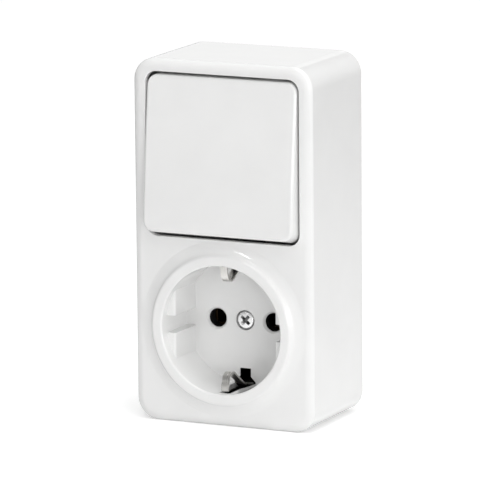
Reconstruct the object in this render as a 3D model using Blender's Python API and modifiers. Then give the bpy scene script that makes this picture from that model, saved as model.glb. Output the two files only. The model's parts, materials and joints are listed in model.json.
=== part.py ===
"""Surface-mounted rocker switch above an earthed two-pin wall socket, in one white plastic housing.

Metres, +Z up. The origin is the centre of the wall face: +Y runs into the wall, +X is the viewer's right,
and the front faces -Y. Run it with blender --background --python part.py, or from the text editor.
"""

import math

import bmesh
import bpy
from mathutils import Matrix, Vector

# Clearances
SEAT_GAP = 0.0003
SLIDE_GAP = 0.0004
PIVOT_GAP = 0.0003

# Housing, and its margins round the collar and the rocker's opening
SIDE_MARGIN = 0.004
TOP_MARGIN = 0.0039
MIDDLE_MARGIN = 0.0016
BOTTOM_MARGIN = 0.0043
BODY_CORNER = 0.007
WALL = 0.0022
FRONT_BEVEL_WIDTH = 0.0028
FRONT_BEVEL_DEPTH = 0.0012
CREASE_ROUND = 0.00035
INNER_ROUND = 0.001

# Socket recess and its collar
PIN_PITCH = 0.019
RECESS_DEPTH = 0.0176
RECESS_RADIUS = 0.0199
RECESS_MOUTH_ROUND = 0.0004
COLLAR_HEIGHT = 0.0021
COLLAR_LAND = 0.0034
COLLAR_FLANK = 0.0026
CUP_WALL = 0.0018
FLOOR_THICKNESS = 0.0026
PIN_HOLE_RADIUS = 0.0029
PIN_HOLE_CHAMFER = 0.0006
PIN_HOLE_LIP = 0.0009
PIN_HOLE_RELIEF_RADIUS = 0.0044
PAD_RISE = 0.0031
PAD_TOP_DEPTH = 0.0034
PAD_SLOT_HALF = 0.0027
PAD_CHAMFER = 0.0005

# Earth clips and the slots they stand in
CLIP_SLOT_DEPTH = 0.0027
CLIP_WALL_SLOT_HALF = 0.0035
CLIP_FLOOR_SLOT_HALF = 0.00185
CLIP_FLOOR_SLOT_INSET = 0.0049
CLIP_FLARE_INSET = 0.0023
CLIP_FLARE_END_INSET = 0.0006
CLIP_FLARE_HALF = 0.00345
CLIP_WIDTH = 0.0023
CLIP_THICKNESS = 0.0006
STRAP_WIDTH = 0.0062
STRAP_END_DEPTH = 0.0164
# The clip's curve: depths below the collar's top, and insets from the recess wall
CLIP_CURVE = (
    (0.0147, 0.0008),
    (0.009, 0.0046),
    (0.0076, 0.00555),
    (0.0063, 0.0058),
    (0.005, 0.0055),
    (0.00395, 0.0045),
    (0.00335, 0.0029),
    (0.0031, 0.0006),
)

# Rocker and its opening
OPENING_HEIGHT = 0.0508
OPENING_SIDE_MARGIN = 0.0042
OPENING_CORNER = 0.0037
ROCKER_SIDE_GAP = 0.0006
ROCKER_END_GAP = 0.0013
ROCKER_CORNER = 0.0034
ROCKER_EDGE_ROUND = 0.0009
ROCKER_CROWN = 0.00035
ROCKER_WALL = 0.0016
ROCKER_FACE_WALL = 0.0018
ROCKER_PROUD = 0.00195
ROCKER_SKIRT = 0.0065
PIVOT_DEPTH = 0.004
ROCKER_TILT = math.radians(5.3)
ROCKER_LEG_WIDTH = 0.003
ROCKER_LEG_THICKNESS = 0.0014
ROCKER_LEG_INSET = 0.0035

# Base plate
BASE_THICKNESS = 0.002
BASE_RIM_WALL = 0.0016
BASE_RIM_HEIGHT = 0.008
WALL_SLOT_WIDTH = 0.005
WALL_SLOT_LENGTH = 0.009
WALL_SLOT_INSET = 0.0078
CABLE_ENTRY_WIDTH = 0.015
CABLE_ENTRY_HEIGHT = 0.0105
CABLE_ENTRY_X = 0.0155
BOSS_RADIUS = 0.0032
BOSS_HEIGHT = 0.006

# Screws
FIXING_RADIUS = 0.0011
FIXING_LENGTH = 0.0078
SCREW_HEAD_RADIUS = 0.0028
SCREW_HEAD_HEIGHT = 0.0017
TERMINAL_SCREW_RADIUS = 0.00145
TERMINAL_SCREW_LENGTH = 0.005
SCREW_SLOT_WIDTH = 0.0008
SCREW_SLOT_DEPTH = 0.0008
COVER_SCREW_RADIUS = 0.0015
COVER_SCREW_LENGTH = 0.009
COVER_SCREW_HEAD_RADIUS = 0.0028
COVER_SCREW_HEAD_HEIGHT = 0.0014
COVER_SCREW_SUNK = 0.0002
COVER_SCREW_TURN = math.radians(42)
CROSS_LENGTH = 0.0033
CROSS_WIDTH = 0.0009
CROSS_DEPTH = 0.0009
SCREW_WELL_RADIUS = 0.00312

# Switch mechanism
SWITCH_SIDE_WALL = 0.008
SWITCH_RIM_DEPTH = 0.0129
SWITCH_CORNER = 0.0025
CHAMBER_SIDE_ROOM = 0.0025
CHAMBER_END_ROOM = 0.0015
CHAMBER_CONTACT_ROOM = 0.0075
EAR_INSET = 0.005
EAR_THICKNESS = 0.003
EAR_HALF_HEIGHT = 0.0033
TRUNNION_RADIUS = 0.0015
TOGGLE_SIDE_PLAY = 0.001
TOGGLE_HEIGHT = 0.018
TOGGLE_PLATE = 0.0016
CHEEK_THICKNESS = 0.0014
CHEEK_HALF_HEIGHT = 0.003
CHEEK_REACH = 0.0022
PLUNGER_TUBE_RADIUS = 0.0032
PLUNGER_BORE_RADIUS = 0.0021
PLUNGER_TUBE_REACH = 0.005
PLUNGER_BORE_FLOOR = 0.0012
PLUNGER_TIP_REACH = 0.0087
PLUNGER_STEM_RADIUS = 0.0009
PLUNGER_NOSE_RADIUS = 0.0014
PLUNGER_FLANGE_THICKNESS = 0.001
SPRING_WIRE = 0.0004
SPRING_MEAN_RADIUS = 0.0015
SPRING_TURNS = 4
LEVER_WIDTH = 0.005
LEVER_LENGTH = 0.019
LEVER_THICKNESS = 0.0009
LEVER_TILT = math.radians(7)
RIVET_RADIUS = 0.0017
RIVET_HEIGHT = 0.0007
RIVET_INSET = 0.0018
STRIP_THICKNESS = 0.0008
STRIP_WIDTH = 0.005
POCKET_ROOM = 0.0006
POCKET_WALL = 0.0012
POCKET_SPACING = 0.0052
CLAMP_SIZE = 0.0056
CLAMP_THICKNESS = 0.001
SWITCH_FIXING_SIDE_INSET = 0.0035
SWITCH_FIXING_END_INSET = 0.0045

# Socket insert
INSERT_DEPTH = 0.0162
INSERT_SIDE_ROOM = 0.0017
INSERT_CORNER = 0.003
SLEEVE_GAP = 0.0049
SLEEVE_WIDTH = 0.0058
SLEEVE_END_INSET = 0.0026
SLEEVE_CHAMBER_GAP = 0.0009
SOCKET_TERMINAL_SIDE_INSET = 0.0045
SOCKET_TERMINAL_END_INSET = 0.003
SOCKET_TERMINAL_CUP_ROOM = 0.004
SOCKET_TERMINAL_DEPTH = 0.0071
SOCKET_FIXING_INSET = 0.004
STRAP_CHANNEL_DEPTH = 0.0014
SLOT_BACK_HALF_WIDTH = 0.0042
SLOT_BACK_THICKNESS = 0.0016
SLOT_BACK_GAP = 0.0006
FIXING_SEAT_THICKNESS = 0.003

# Fineness of round shapes
ROUND_CORNER_STEPS = 8
BEVEL_STEPS = 4
COLLAR_SIDES = 64
HOLE_SIDES = 20
SCREW_SIDES = 20
SMALL_SIDES = 14

# Levels along Y, from the wall to the front
BODY_DEPTH = (
    BASE_THICKNESS + INSERT_DEPTH + FLOOR_THICKNESS + RECESS_DEPTH - COLLAR_HEIGHT + 2 * SEAT_GAP
)
FRONT = -BODY_DEPTH
COLLAR_TOP = FRONT - COLLAR_HEIGHT
FLOOR_FACE = COLLAR_TOP + RECESS_DEPTH
FLOOR_BACK = FLOOR_FACE + FLOOR_THICKNESS
INSERT_FRONT = FLOOR_BACK + SEAT_GAP
BASE_FACE = -BASE_THICKNESS
INSERT_BACK = BASE_FACE - SEAT_GAP
PIVOT_Y = FRONT + PIVOT_DEPTH
SWITCH_RIM = FRONT + SWITCH_RIM_DEPTH
BOSS_TOP = BASE_FACE - BOSS_HEIGHT
CLIP_SLOT_FRONT = COLLAR_TOP + CLIP_SLOT_DEPTH
SCREW_SEAT_Y = BOSS_TOP - SEAT_GAP - FIXING_SEAT_THICKNESS
SOCKET_TERMINAL_Y = INSERT_FRONT + SOCKET_TERMINAL_DEPTH

# Outline and layout that follow, from the socket up
COLLAR_LAND_RADIUS = RECESS_RADIUS + COLLAR_LAND
COLLAR_FOOT_RADIUS = COLLAR_LAND_RADIUS + COLLAR_FLANK
BODY_WIDTH = 2 * (COLLAR_FOOT_RADIUS + SIDE_MARGIN)
BODY_HEIGHT = BOTTOM_MARGIN + 2 * COLLAR_FOOT_RADIUS + MIDDLE_MARGIN + OPENING_HEIGHT + TOP_MARGIN
SOCKET_Z = BOTTOM_MARGIN + COLLAR_FOOT_RADIUS - BODY_HEIGHT / 2
ROCKER_Z = BODY_HEIGHT / 2 - TOP_MARGIN - OPENING_HEIGHT / 2
OPENING_WIDTH = BODY_WIDTH - 2 * OPENING_SIDE_MARGIN

# Sizes that follow in the socket
CUP_RADIUS = RECESS_RADIUS + CUP_WALL
PAD_HALF_SPAN = RECESS_RADIUS - PAD_RISE
CLIP_FLOOR_SLOT_START = RECESS_RADIUS - CLIP_FLOOR_SLOT_INSET
CLIP_FLARE_START = RECESS_RADIUS - CLIP_FLARE_INSET
INSERT_WIDTH = BODY_WIDTH - 2 * (WALL + SLIDE_GAP + BASE_RIM_WALL + INSERT_SIDE_ROOM)
SOCKET_TERMINAL_X = INSERT_WIDTH / 2 - SOCKET_TERMINAL_SIDE_INSET
SOCKET_TERMINAL_REACH = math.sqrt((CUP_RADIUS + SOCKET_TERMINAL_CUP_ROOM) ** 2 - SOCKET_TERMINAL_X**2)
INSERT_HEIGHT = 2 * (SOCKET_TERMINAL_REACH + SOCKET_TERMINAL_END_INSET)
SOCKET_FIXING_X = INSERT_WIDTH / 2 - SOCKET_FIXING_INSET
STRAP_REACH = max(RECESS_RADIUS, INSERT_HEIGHT / 2 + SEAT_GAP) + STRIP_THICKNESS / 2

# Sizes that follow in the switch
RIVET_REACH = LEVER_LENGTH / 2 - RIVET_INSET
POCKET_WIDTH = CLAMP_SIZE + 2 * POCKET_ROOM
TERMINAL_X = (POCKET_WIDTH + POCKET_SPACING) / 2
CHAMBER_WIDTH = 2 * (TERMINAL_X + STRIP_WIDTH / 2 + CHAMBER_SIDE_ROOM)
CHAMBER_HEIGHT = LEVER_LENGTH + 2 * CHAMBER_END_ROOM
TERMINAL_REACH = CHAMBER_HEIGHT / 2 + POCKET_WALL + CLAMP_SIZE / 2 + SEAT_GAP
SWITCH_WIDTH = CHAMBER_WIDTH + 2 * SWITCH_SIDE_WALL
SWITCH_HEIGHT = 2 * (TERMINAL_REACH + STRIP_WIDTH / 2 + SEAT_GAP)
SWITCH_FIXING_X = SWITCH_WIDTH / 2 - SWITCH_FIXING_SIDE_INSET
SWITCH_FIXING_Z = SWITCH_HEIGHT / 2 - SWITCH_FIXING_END_INSET
EAR_INSIDE = SWITCH_WIDTH / 2 - EAR_INSET
TOGGLE_WIDTH = 2 * (EAR_INSIDE - TOGGLE_SIDE_PLAY)
ROCKER_LEG_X = TOGGLE_WIDTH / 2 - ROCKER_LEG_INSET
CABLE_ENTRY_Z = (SOCKET_Z + INSERT_HEIGHT / 2 + ROCKER_Z - SWITCH_HEIGHT / 2) / 2
ROCKER_WIDTH = OPENING_WIDTH - 2 * ROCKER_SIDE_GAP
ROCKER_HEIGHT = OPENING_HEIGHT - 2 * ROCKER_END_GAP
ROCKER_FACE = -(PIVOT_DEPTH + ROCKER_PROUD)
ROCKER_INSIDE = ROCKER_FACE + ROCKER_FACE_WALL
TOGGLE_FACE = ROCKER_INSIDE + SEAT_GAP
TOGGLE_BACK = TOGGLE_FACE + TOGGLE_PLATE
LEVER_Y = PIVOT_Y + PLUNGER_TIP_REACH + PIVOT_GAP + LEVER_THICKNESS
STRIP_FACE = LEVER_Y + math.sin(LEVER_TILT) * RIVET_REACH + 2 * RIVET_HEIGHT + SEAT_GAP
CHAMBER_FLOOR_Y = STRIP_FACE + CHAMBER_CONTACT_ROOM
POCKET_FLOOR_Y = STRIP_FACE + TERMINAL_SCREW_LENGTH + 2 * SEAT_GAP

part_collection = None
cutter_collection = None


def clear_scene():
    for old in list(bpy.data.objects):
        bpy.data.objects.remove(old, do_unlink=True)


def new_collection(name, hidden=False):
    made = bpy.data.collections.new(name)
    bpy.context.scene.collection.children.link(made)
    made.hide_render = hidden
    return made


def material(name, colour, roughness, metallic=0.0):
    made = bpy.data.materials.new(name)
    made.use_nodes = True
    shader = made.node_tree.nodes["Principled BSDF"]
    shader.inputs["Base Color"].default_value = (*colour, 1)
    shader.inputs["Roughness"].default_value = roughness
    shader.inputs["Metallic"].default_value = metallic
    return made


def add_object(name, bm, helper=False):
    """A mesh object from bm, as a part or, for a helper, as a wire in the cutters' collection."""
    bmesh.ops.recalc_face_normals(bm, faces=bm.faces)
    mesh = bpy.data.meshes.new(name)
    bm.to_mesh(mesh)
    bm.free()
    made = bpy.data.objects.new(name, mesh)
    if helper:
        cutter_collection.objects.link(made)
        made.hide_render = True
        made.display_type = "WIRE"
    else:
        part_collection.objects.link(made)
    return made


def finish_part(piece, look, angle=30):
    """Gives a part its material and smooth shading with sharp edges kept."""
    piece.data.materials.clear()
    piece.data.materials.append(look)
    piece.data.shade_smooth()
    piece.data.set_sharp_from_angle(angle=math.radians(angle))
    return piece


def boolean(piece, other, operation):
    step = piece.modifiers.new(f"{operation.lower()}_{other.name}", "BOOLEAN")
    step.operation = operation
    step.solver = "EXACT"
    step.object = other
    return piece


def cut(piece, *cutters):
    for cutter in cutters:
        boolean(piece, cutter, "DIFFERENCE")
    return piece


def join(piece, *additions):
    for addition in additions:
        boolean(piece, addition, "UNION")
    return piece


def block(x, y, z, corner=0.0, steps=ROUND_CORNER_STEPS):
    """A bmesh block between the limits x, y and z, its four edges along Y rounded by corner."""
    bm = bmesh.new()
    bmesh.ops.create_cube(bm, size=1)
    size = Vector((x[1] - x[0], y[1] - y[0], z[1] - z[0]))
    centre = Vector((x[0] + x[1], y[0] + y[1], z[0] + z[1])) / 2
    bmesh.ops.scale(bm, vec=size, verts=bm.verts)
    bmesh.ops.translate(bm, vec=centre, verts=bm.verts)
    if corner:
        along_y = [e for e in bm.edges if abs(e.verts[0].co.y - e.verts[1].co.y) > size.y / 2]
        bmesh.ops.bevel(bm, geom=along_y, offset=corner, segments=steps, profile=0.5, affect="EDGES")
    return bm


def about(centre, half):
    return (centre - half, centre + half)


def box(name, x, y, z, corner=0.0, steps=ROUND_CORNER_STEPS, helper=True):
    return add_object(name, block(x, y, z, corner, steps), helper)


def front_loop(bm, level):
    return [e for e in bm.edges if all(abs(v.co.y - level) < 1e-6 for v in e.verts)]


def turned(name, profile, centre=(0, 0), sides=HOLE_SIDES, helper=True):
    """A solid turned about an axis along Y: profile holds (radius, y) points, closed along the axis."""
    bm = bmesh.new()
    points = [bm.verts.new((radius, y, 0)) for radius, y in profile]
    edges = [bm.edges.new(pair) for pair in zip(points, points[1:])]
    bmesh.ops.spin(
        bm,
        geom=points + edges,
        cent=(0, 0, 0),
        axis=(0, 1, 0),
        angle=2 * math.pi,
        steps=sides,
        use_merge=True,
    )
    bmesh.ops.remove_doubles(bm, verts=bm.verts, dist=1e-6)
    bmesh.ops.translate(bm, vec=(centre[0], 0, centre[1]), verts=bm.verts)
    return add_object(name, bm, helper)


def prism(name, points, span, axes, helper=True):
    """A straight solid: an outline of flat points, extruded over span; axes order them as x, y and z."""
    bm = bmesh.new()
    corners = [(a, b, span[0]) for a, b in points]
    outline = bm.faces.new([bm.verts.new([corner[axis] for axis in axes]) for corner in corners])
    swept = bmesh.ops.extrude_face_region(bm, geom=[outline])["geom"]
    moved = [v for v in swept if isinstance(v, bmesh.types.BMVert)]
    sweep = (0, 0, span[1] - span[0])
    bmesh.ops.translate(bm, vec=[sweep[axis] for axis in axes], verts=moved)
    return add_object(name, bm, helper)


def rod(name, radius, y, centre=(0, 0), sides=HOLE_SIDES, helper=True):
    """A plain cylinder along Y between the limits y."""
    bm = bmesh.new()
    turn = Matrix.Rotation(math.pi / 2, 4, "X")
    place = Matrix.Translation((centre[0], (y[0] + y[1]) / 2, centre[1]))
    bmesh.ops.create_cone(
        bm,
        cap_ends=True,
        segments=sides,
        radius1=radius,
        radius2=radius,
        depth=abs(y[1] - y[0]),
        matrix=place @ turn,
    )
    return add_object(name, bm, helper)


def cross_rod(name, radius, x, y, z, sides=SMALL_SIDES):
    """A helper cylinder along X between the limits x."""
    bm = bmesh.new()
    turn = Matrix.Rotation(math.pi / 2, 4, "Y")
    place = Matrix.Translation(((x[0] + x[1]) / 2, y, z))
    bmesh.ops.create_cone(
        bm,
        cap_ends=True,
        segments=sides,
        radius1=radius,
        radius2=radius,
        depth=x[1] - x[0],
        matrix=place @ turn,
    )
    return add_object(name, bm, helper=True)


def folded_strip(name, path, across, width, thickness, helper=False):
    """Sheet metal folded along path, a list of points, and as wide as width along the across direction."""
    bm = bmesh.new()
    shift = Vector(across).normalized() * width
    start = [bm.verts.new(Vector(point) - shift / 2) for point in path]
    edges = [bm.edges.new(pair) for pair in zip(start, start[1:])]
    swept = bmesh.ops.extrude_edge_only(bm, edges=edges)["geom"]
    moved = [v for v in swept if isinstance(v, bmesh.types.BMVert)]
    bmesh.ops.translate(bm, vec=shift, verts=moved)
    made = add_object(name, bm, helper)
    sheet = made.modifiers.new("sheet", "SOLIDIFY")
    sheet.thickness = thickness
    sheet.offset = 0
    sheet.use_even_offset = True
    return made


def place_under(parent, *pieces):
    """Puts pieces modelled about the parent's origin under it."""
    for piece in pieces:
        piece.parent = parent


def pivot(name, y, z, turn):
    empty = bpy.data.objects.new(name, None)
    part_collection.objects.link(empty)
    empty.location = (0, y, z)
    empty.rotation_euler = (turn, 0, 0)
    return empty


# Housing


def crowned_block():
    """The outside of the housing, with its shallow convex front bevel and a small round at the crease."""
    half_turn = 2 * math.atan(FRONT_BEVEL_DEPTH / FRONT_BEVEL_WIDTH)
    sweep = FRONT_BEVEL_WIDTH / math.sin(half_turn)
    crease = FRONT + FRONT_BEVEL_DEPTH
    bm = block(
        about(0, BODY_WIDTH / 2), (crease, 0), about(0, BODY_HEIGHT / 2), BODY_CORNER
    )
    face = min(bm.faces, key=lambda f: f.calc_center_median().y)
    reached = Vector((0, 0))
    for step in range(1, BEVEL_STEPS + 1):
        angle = half_turn * (1 - step / BEVEL_STEPS)
        inward = sweep * (math.sin(half_turn) - math.sin(angle))
        forward = sweep * (math.cos(angle) - math.cos(half_turn))
        bmesh.ops.inset_region(
            bm,
            faces=[face],
            thickness=inward - reached.x,
            depth=forward - reached.y,
            use_even_offset=True,
        )
        reached = Vector((inward, forward))
    edges = front_loop(bm, crease)
    bmesh.ops.bevel(bm, geom=edges, offset=CREASE_ROUND, segments=2, profile=0.5, affect="EDGES")
    return bm


def inner_hollow():
    """The space inside the housing, open at the wall."""
    bm = block(
        about(0, BODY_WIDTH / 2 - WALL),
        (FRONT + WALL, WALL),
        about(0, BODY_HEIGHT / 2 - WALL),
        BODY_CORNER - WALL,
    )
    edges = front_loop(bm, FRONT + WALL)
    bmesh.ops.bevel(bm, geom=edges, offset=INNER_ROUND, segments=2, profile=0.5, affect="EDGES")
    return add_object("housing_hollow", bm, helper=True)


def collar_and_cup():
    """The raised collar and the cup behind it as one turned solid, before the recess is cut."""
    flank = COLLAR_FOOT_RADIUS - COLLAR_LAND_RADIUS
    sunk = 0.00005
    profile = [(0, COLLAR_TOP), (COLLAR_LAND_RADIUS, COLLAR_TOP)]
    for step in range(1, BEVEL_STEPS + 2):
        angle = math.pi / 2 * step / (BEVEL_STEPS + 1)
        radius = COLLAR_FOOT_RADIUS - flank * math.cos(angle)
        profile.append((radius, COLLAR_TOP + (COLLAR_HEIGHT + sunk) * math.sin(angle)))
    profile += [
        (COLLAR_FOOT_RADIUS, FRONT + WALL / 2),
        (CUP_RADIUS, FRONT + WALL / 2),
        (CUP_RADIUS, FLOOR_BACK),
        (0, FLOOR_BACK),
    ]
    return turned("collar_and_cup", profile, (0, SOCKET_Z), COLLAR_SIDES)


def recess():
    mouth = RECESS_RADIUS + RECESS_MOUTH_ROUND
    profile = [(0, COLLAR_TOP - WALL), (mouth + RECESS_MOUTH_ROUND, COLLAR_TOP - WALL)]
    profile.append((mouth, COLLAR_TOP))
    profile.append((RECESS_RADIUS + RECESS_MOUTH_ROUND * 0.3, COLLAR_TOP + RECESS_MOUTH_ROUND * 0.3))
    profile.append((RECESS_RADIUS, COLLAR_TOP + RECESS_MOUTH_ROUND))
    profile += [(RECESS_RADIUS, FLOOR_FACE), (0, FLOOR_FACE)]
    return turned("recess", profile, (0, SOCKET_Z), COLLAR_SIDES)


def guide_pads():
    """Four chord-shaped pads, in pairs either side of a slot, that fit the flats of a plug."""
    pads = []
    top = COLLAR_TOP + PAD_TOP_DEPTH
    outer = RECESS_RADIUS + CUP_WALL / 2
    for side in (-1, 1):
        for level in (-1, 1):
            x = sorted((side * PAD_HALF_SPAN, side * (outer + WALL)))
            z = sorted((level * PAD_SLOT_HALF, level * (outer - PAD_SLOT_HALF)))
            bm = block(x, (top, FLOOR_FACE + SEAT_GAP), (z[0] + SOCKET_Z, z[1] + SOCKET_Z))
            edges = [
                e
                for e in front_loop(bm, top)
                if all(abs(v.co.x - side * PAD_HALF_SPAN) < 1e-6 for v in e.verts)
            ]
            bmesh.ops.bevel(bm, geom=edges, offset=PAD_CHAMFER, segments=3, profile=0.5, affect="EDGES")
            pad = add_object(f"pad_{side}_{level}", bm, helper=True)
            round_of_cup = rod(
                f"pad_round_{side}_{level}",
                outer,
                (top - WALL, FLOOR_FACE + WALL),
                (0, SOCKET_Z),
                COLLAR_SIDES,
            )
            pads.append(boolean(pad, round_of_cup, "INTERSECT"))
    return pads


def clip_slots():
    """For each earth clip, a wide slot through the recess wall and floor, and a narrower one inward."""
    slots = []
    outer = CUP_RADIUS + SLIDE_GAP
    for level in (-1, 1):
        wall = sorted((level * (RECESS_RADIUS - SLIDE_GAP), level * outer))
        floor = [
            (CLIP_FLOOR_SLOT_HALF, CLIP_FLOOR_SLOT_START),
            (CLIP_FLOOR_SLOT_HALF, CLIP_FLARE_START),
            (CLIP_FLARE_HALF, RECESS_RADIUS - CLIP_FLARE_END_INSET),
            (CLIP_FLARE_HALF, CUP_RADIUS - SLIDE_GAP),
        ]
        outline = floor + [(-x, reach) for x, reach in reversed(floor)]
        slots.append(
            box(
                f"clip_wall_slot_{level}",
                about(0, CLIP_WALL_SLOT_HALF),
                (CLIP_SLOT_FRONT, FLOOR_BACK + WALL),
                (wall[0] + SOCKET_Z, wall[1] + SOCKET_Z),
            )
        )
        slots.append(
            prism(
                f"clip_floor_slot_{level}",
                [(x, SOCKET_Z + level * reach) for x, reach in outline],
                (FLOOR_FACE - 2 * SEAT_GAP, FLOOR_BACK + 2 * WALL),
                (0, 2, 1),
            )
        )
    return slots


def floor_holes():
    holes = []
    for side in (-1, 1):
        mouth = PIN_HOLE_RADIUS + PIN_HOLE_CHAMFER
        profile = [
            (0, FLOOR_FACE - WALL),
            (mouth, FLOOR_FACE - WALL),
            (mouth, FLOOR_FACE),
            (PIN_HOLE_RADIUS, FLOOR_FACE + PIN_HOLE_CHAMFER),
            (PIN_HOLE_RADIUS, FLOOR_FACE + PIN_HOLE_LIP),
            (PIN_HOLE_RELIEF_RADIUS, FLOOR_FACE + PIN_HOLE_LIP),
            (PIN_HOLE_RELIEF_RADIUS, FLOOR_BACK + WALL),
            (0, FLOOR_BACK + WALL),
        ]
        holes.append(turned(f"pin_hole_{side}", profile, (side * PIN_PITCH / 2, SOCKET_Z)))
    shaft = COVER_SCREW_RADIUS + SEAT_GAP
    seat = FLOOR_FACE + COVER_SCREW_SUNK + COVER_SCREW_HEAD_HEIGHT + SEAT_GAP
    profile = [
        (0, FLOOR_FACE - WALL),
        (SCREW_WELL_RADIUS, FLOOR_FACE - WALL),
        (SCREW_WELL_RADIUS, seat),
        (shaft, seat),
        (shaft, FLOOR_BACK + WALL),
        (0, FLOOR_BACK + WALL),
    ]
    holes.append(turned("cover_screw_well", profile, (0, SOCKET_Z)))
    return holes


def rocker_opening():
    return box(
        "rocker_opening",
        about(0, OPENING_WIDTH / 2),
        (FRONT - WALL, FRONT + 2 * WALL),
        about(ROCKER_Z, OPENING_HEIGHT / 2),
        OPENING_CORNER,
    )


def make_housing(look):
    housing = add_object("housing", crowned_block())
    cut(housing, inner_hollow(), rocker_opening())
    join(housing, collar_and_cup())
    cut(housing, recess())
    join(housing, *guide_pads())
    cut(housing, *clip_slots(), *floor_holes())
    return finish_part(housing, look)


# Base plate


def fixing_places():
    """Where the four screws hold the two inserts down: (x, z) of each, by name."""
    return {
        "switch_fixing_screw_1": (-SWITCH_FIXING_X, ROCKER_Z + SWITCH_FIXING_Z),
        "switch_fixing_screw_2": (SWITCH_FIXING_X, ROCKER_Z - SWITCH_FIXING_Z),
        "socket_fixing_screw_1": (-SOCKET_FIXING_X, SOCKET_Z),
        "socket_fixing_screw_2": (SOCKET_FIXING_X, SOCKET_Z),
    }


def make_base_plate(look):
    half_width = BODY_WIDTH / 2 - WALL - SLIDE_GAP
    half_height = BODY_HEIGHT / 2 - WALL - SLIDE_GAP
    corner = BODY_CORNER - WALL - SLIDE_GAP
    base = box(
        "base_plate",
        about(0, half_width),
        (-BASE_RIM_HEIGHT, 0),
        about(0, half_height),
        corner,
        helper=False,
    )
    tray = box(
        "base_tray",
        about(0, half_width - BASE_RIM_WALL),
        (-BASE_RIM_HEIGHT - WALL, BASE_FACE),
        about(0, half_height - BASE_RIM_WALL),
        corner - BASE_RIM_WALL,
    )
    cut(base, tray)
    for name, place in fixing_places().items():
        join(base, rod(f"boss_{name}", BOSS_RADIUS, (BOSS_TOP, BASE_FACE + SEAT_GAP), place))
        hole = FIXING_RADIUS + SEAT_GAP
        cut(base, rod(f"boss_hole_{name}", hole, (BOSS_TOP - WALL, BASE_FACE - SEAT_GAP), place))
    for level in (-1, 1):
        z = level * (half_height - WALL_SLOT_INSET / 2 - SLIDE_GAP)
        cut(
            base,
            box(
                f"wall_slot_{level}",
                about(0, WALL_SLOT_LENGTH / 2),
                (BASE_FACE - WALL, WALL),
                about(z, WALL_SLOT_WIDTH / 2),
                WALL_SLOT_WIDTH / 2 - SEAT_GAP,
                4,
            ),
        )
    cut(
        base,
        box(
            "cable_entry",
            about(CABLE_ENTRY_X, CABLE_ENTRY_WIDTH / 2),
            (BASE_FACE - WALL, WALL),
            about(CABLE_ENTRY_Z, CABLE_ENTRY_HEIGHT / 2),
            WALL,
            4,
        ),
    )
    return finish_part(base, look)


# Screws


def make_screw(name, place, head_back, shaft_radius, length, look, turn=0.0):
    """A slotted pan-head screw pointing into the wall, its head seated at head_back."""
    front = head_back - SCREW_HEAD_HEIGHT
    profile = [
        (0, front),
        (SCREW_HEAD_RADIUS * 0.8, front),
        (SCREW_HEAD_RADIUS, front + SCREW_HEAD_HEIGHT * 0.4),
        (SCREW_HEAD_RADIUS, head_back),
        (shaft_radius, head_back),
        (shaft_radius, head_back + length - shaft_radius),
        (0, head_back + length),
    ]
    screw = turned(name, profile, place, SCREW_SIDES, helper=False)
    slot = add_object(
        f"slot_{name}",
        block(
            about(0, SCREW_HEAD_RADIUS + WALL),
            (front - WALL, front + SCREW_SLOT_DEPTH),
            about(0, SCREW_SLOT_WIDTH / 2),
        ),
        helper=True,
    )
    slot.location = (place[0], 0, place[1])
    slot.rotation_euler.y = turn
    cut(screw, slot)
    return finish_part(screw, look)


def make_cover_screw(look):
    """The screw in the recess floor: a pan head with a cross recess."""
    front = FLOOR_FACE + COVER_SCREW_SUNK
    back = front + COVER_SCREW_HEAD_HEIGHT
    profile = [
        (0, front),
        (COVER_SCREW_HEAD_RADIUS * 0.82, front),
        (COVER_SCREW_HEAD_RADIUS, front + COVER_SCREW_HEAD_HEIGHT * 0.35),
        (COVER_SCREW_HEAD_RADIUS, back),
        (COVER_SCREW_RADIUS, back),
        (COVER_SCREW_RADIUS, back + COVER_SCREW_LENGTH - COVER_SCREW_RADIUS),
        (0, back + COVER_SCREW_LENGTH),
    ]
    screw = turned("cover_screw", profile, (0, SOCKET_Z), SCREW_SIDES, helper=False)
    for arm in range(2):
        recess_arm = add_object(
            f"cross_{arm}",
            block(
                about(0, CROSS_LENGTH / 2),
                (front - WALL, front + CROSS_DEPTH),
                about(0, CROSS_WIDTH / 2),
            ),
            helper=True,
        )
        recess_arm.location = (0, 0, SOCKET_Z)
        recess_arm.rotation_euler.y = COVER_SCREW_TURN + arm * math.pi / 2
        cut(screw, recess_arm)
    return finish_part(screw, look)


def make_clamp(name, place, back, look):
    """The square plate that a terminal's screw presses onto the wire."""
    clamp = box(
        name,
        about(place[0], CLAMP_SIZE / 2),
        (back - CLAMP_THICKNESS, back),
        about(place[1], CLAMP_SIZE / 2),
        helper=False,
    )
    hole = TERMINAL_SCREW_RADIUS + SEAT_GAP
    cut(clamp, rod(f"hole_{name}", hole, (back - WALL, back + WALL), place))
    return finish_part(clamp, look)


def make_terminal(prefix, number, place, strip_front, brass, steel, turn):
    """A clamp plate and its screw over a contact strip whose front is at strip_front."""
    clamp_back = strip_front - SEAT_GAP
    make_clamp(f"{prefix}_clamp_{number}", place, clamp_back, brass)
    head_back = clamp_back - CLAMP_THICKNESS - SEAT_GAP
    make_screw(
        f"{prefix}_terminal_screw_{number}",
        place,
        head_back,
        TERMINAL_SCREW_RADIUS,
        TERMINAL_SCREW_LENGTH,
        steel,
        turn,
    )


def strip_hole(strip, place, y):
    hole = TERMINAL_SCREW_RADIUS + SEAT_GAP
    cut(strip, rod(f"hole_{strip.name}", hole, (y - WALL, y + WALL), place))


# Rocker, toggle and plunger, modelled about the pivot with the rocker level


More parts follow.
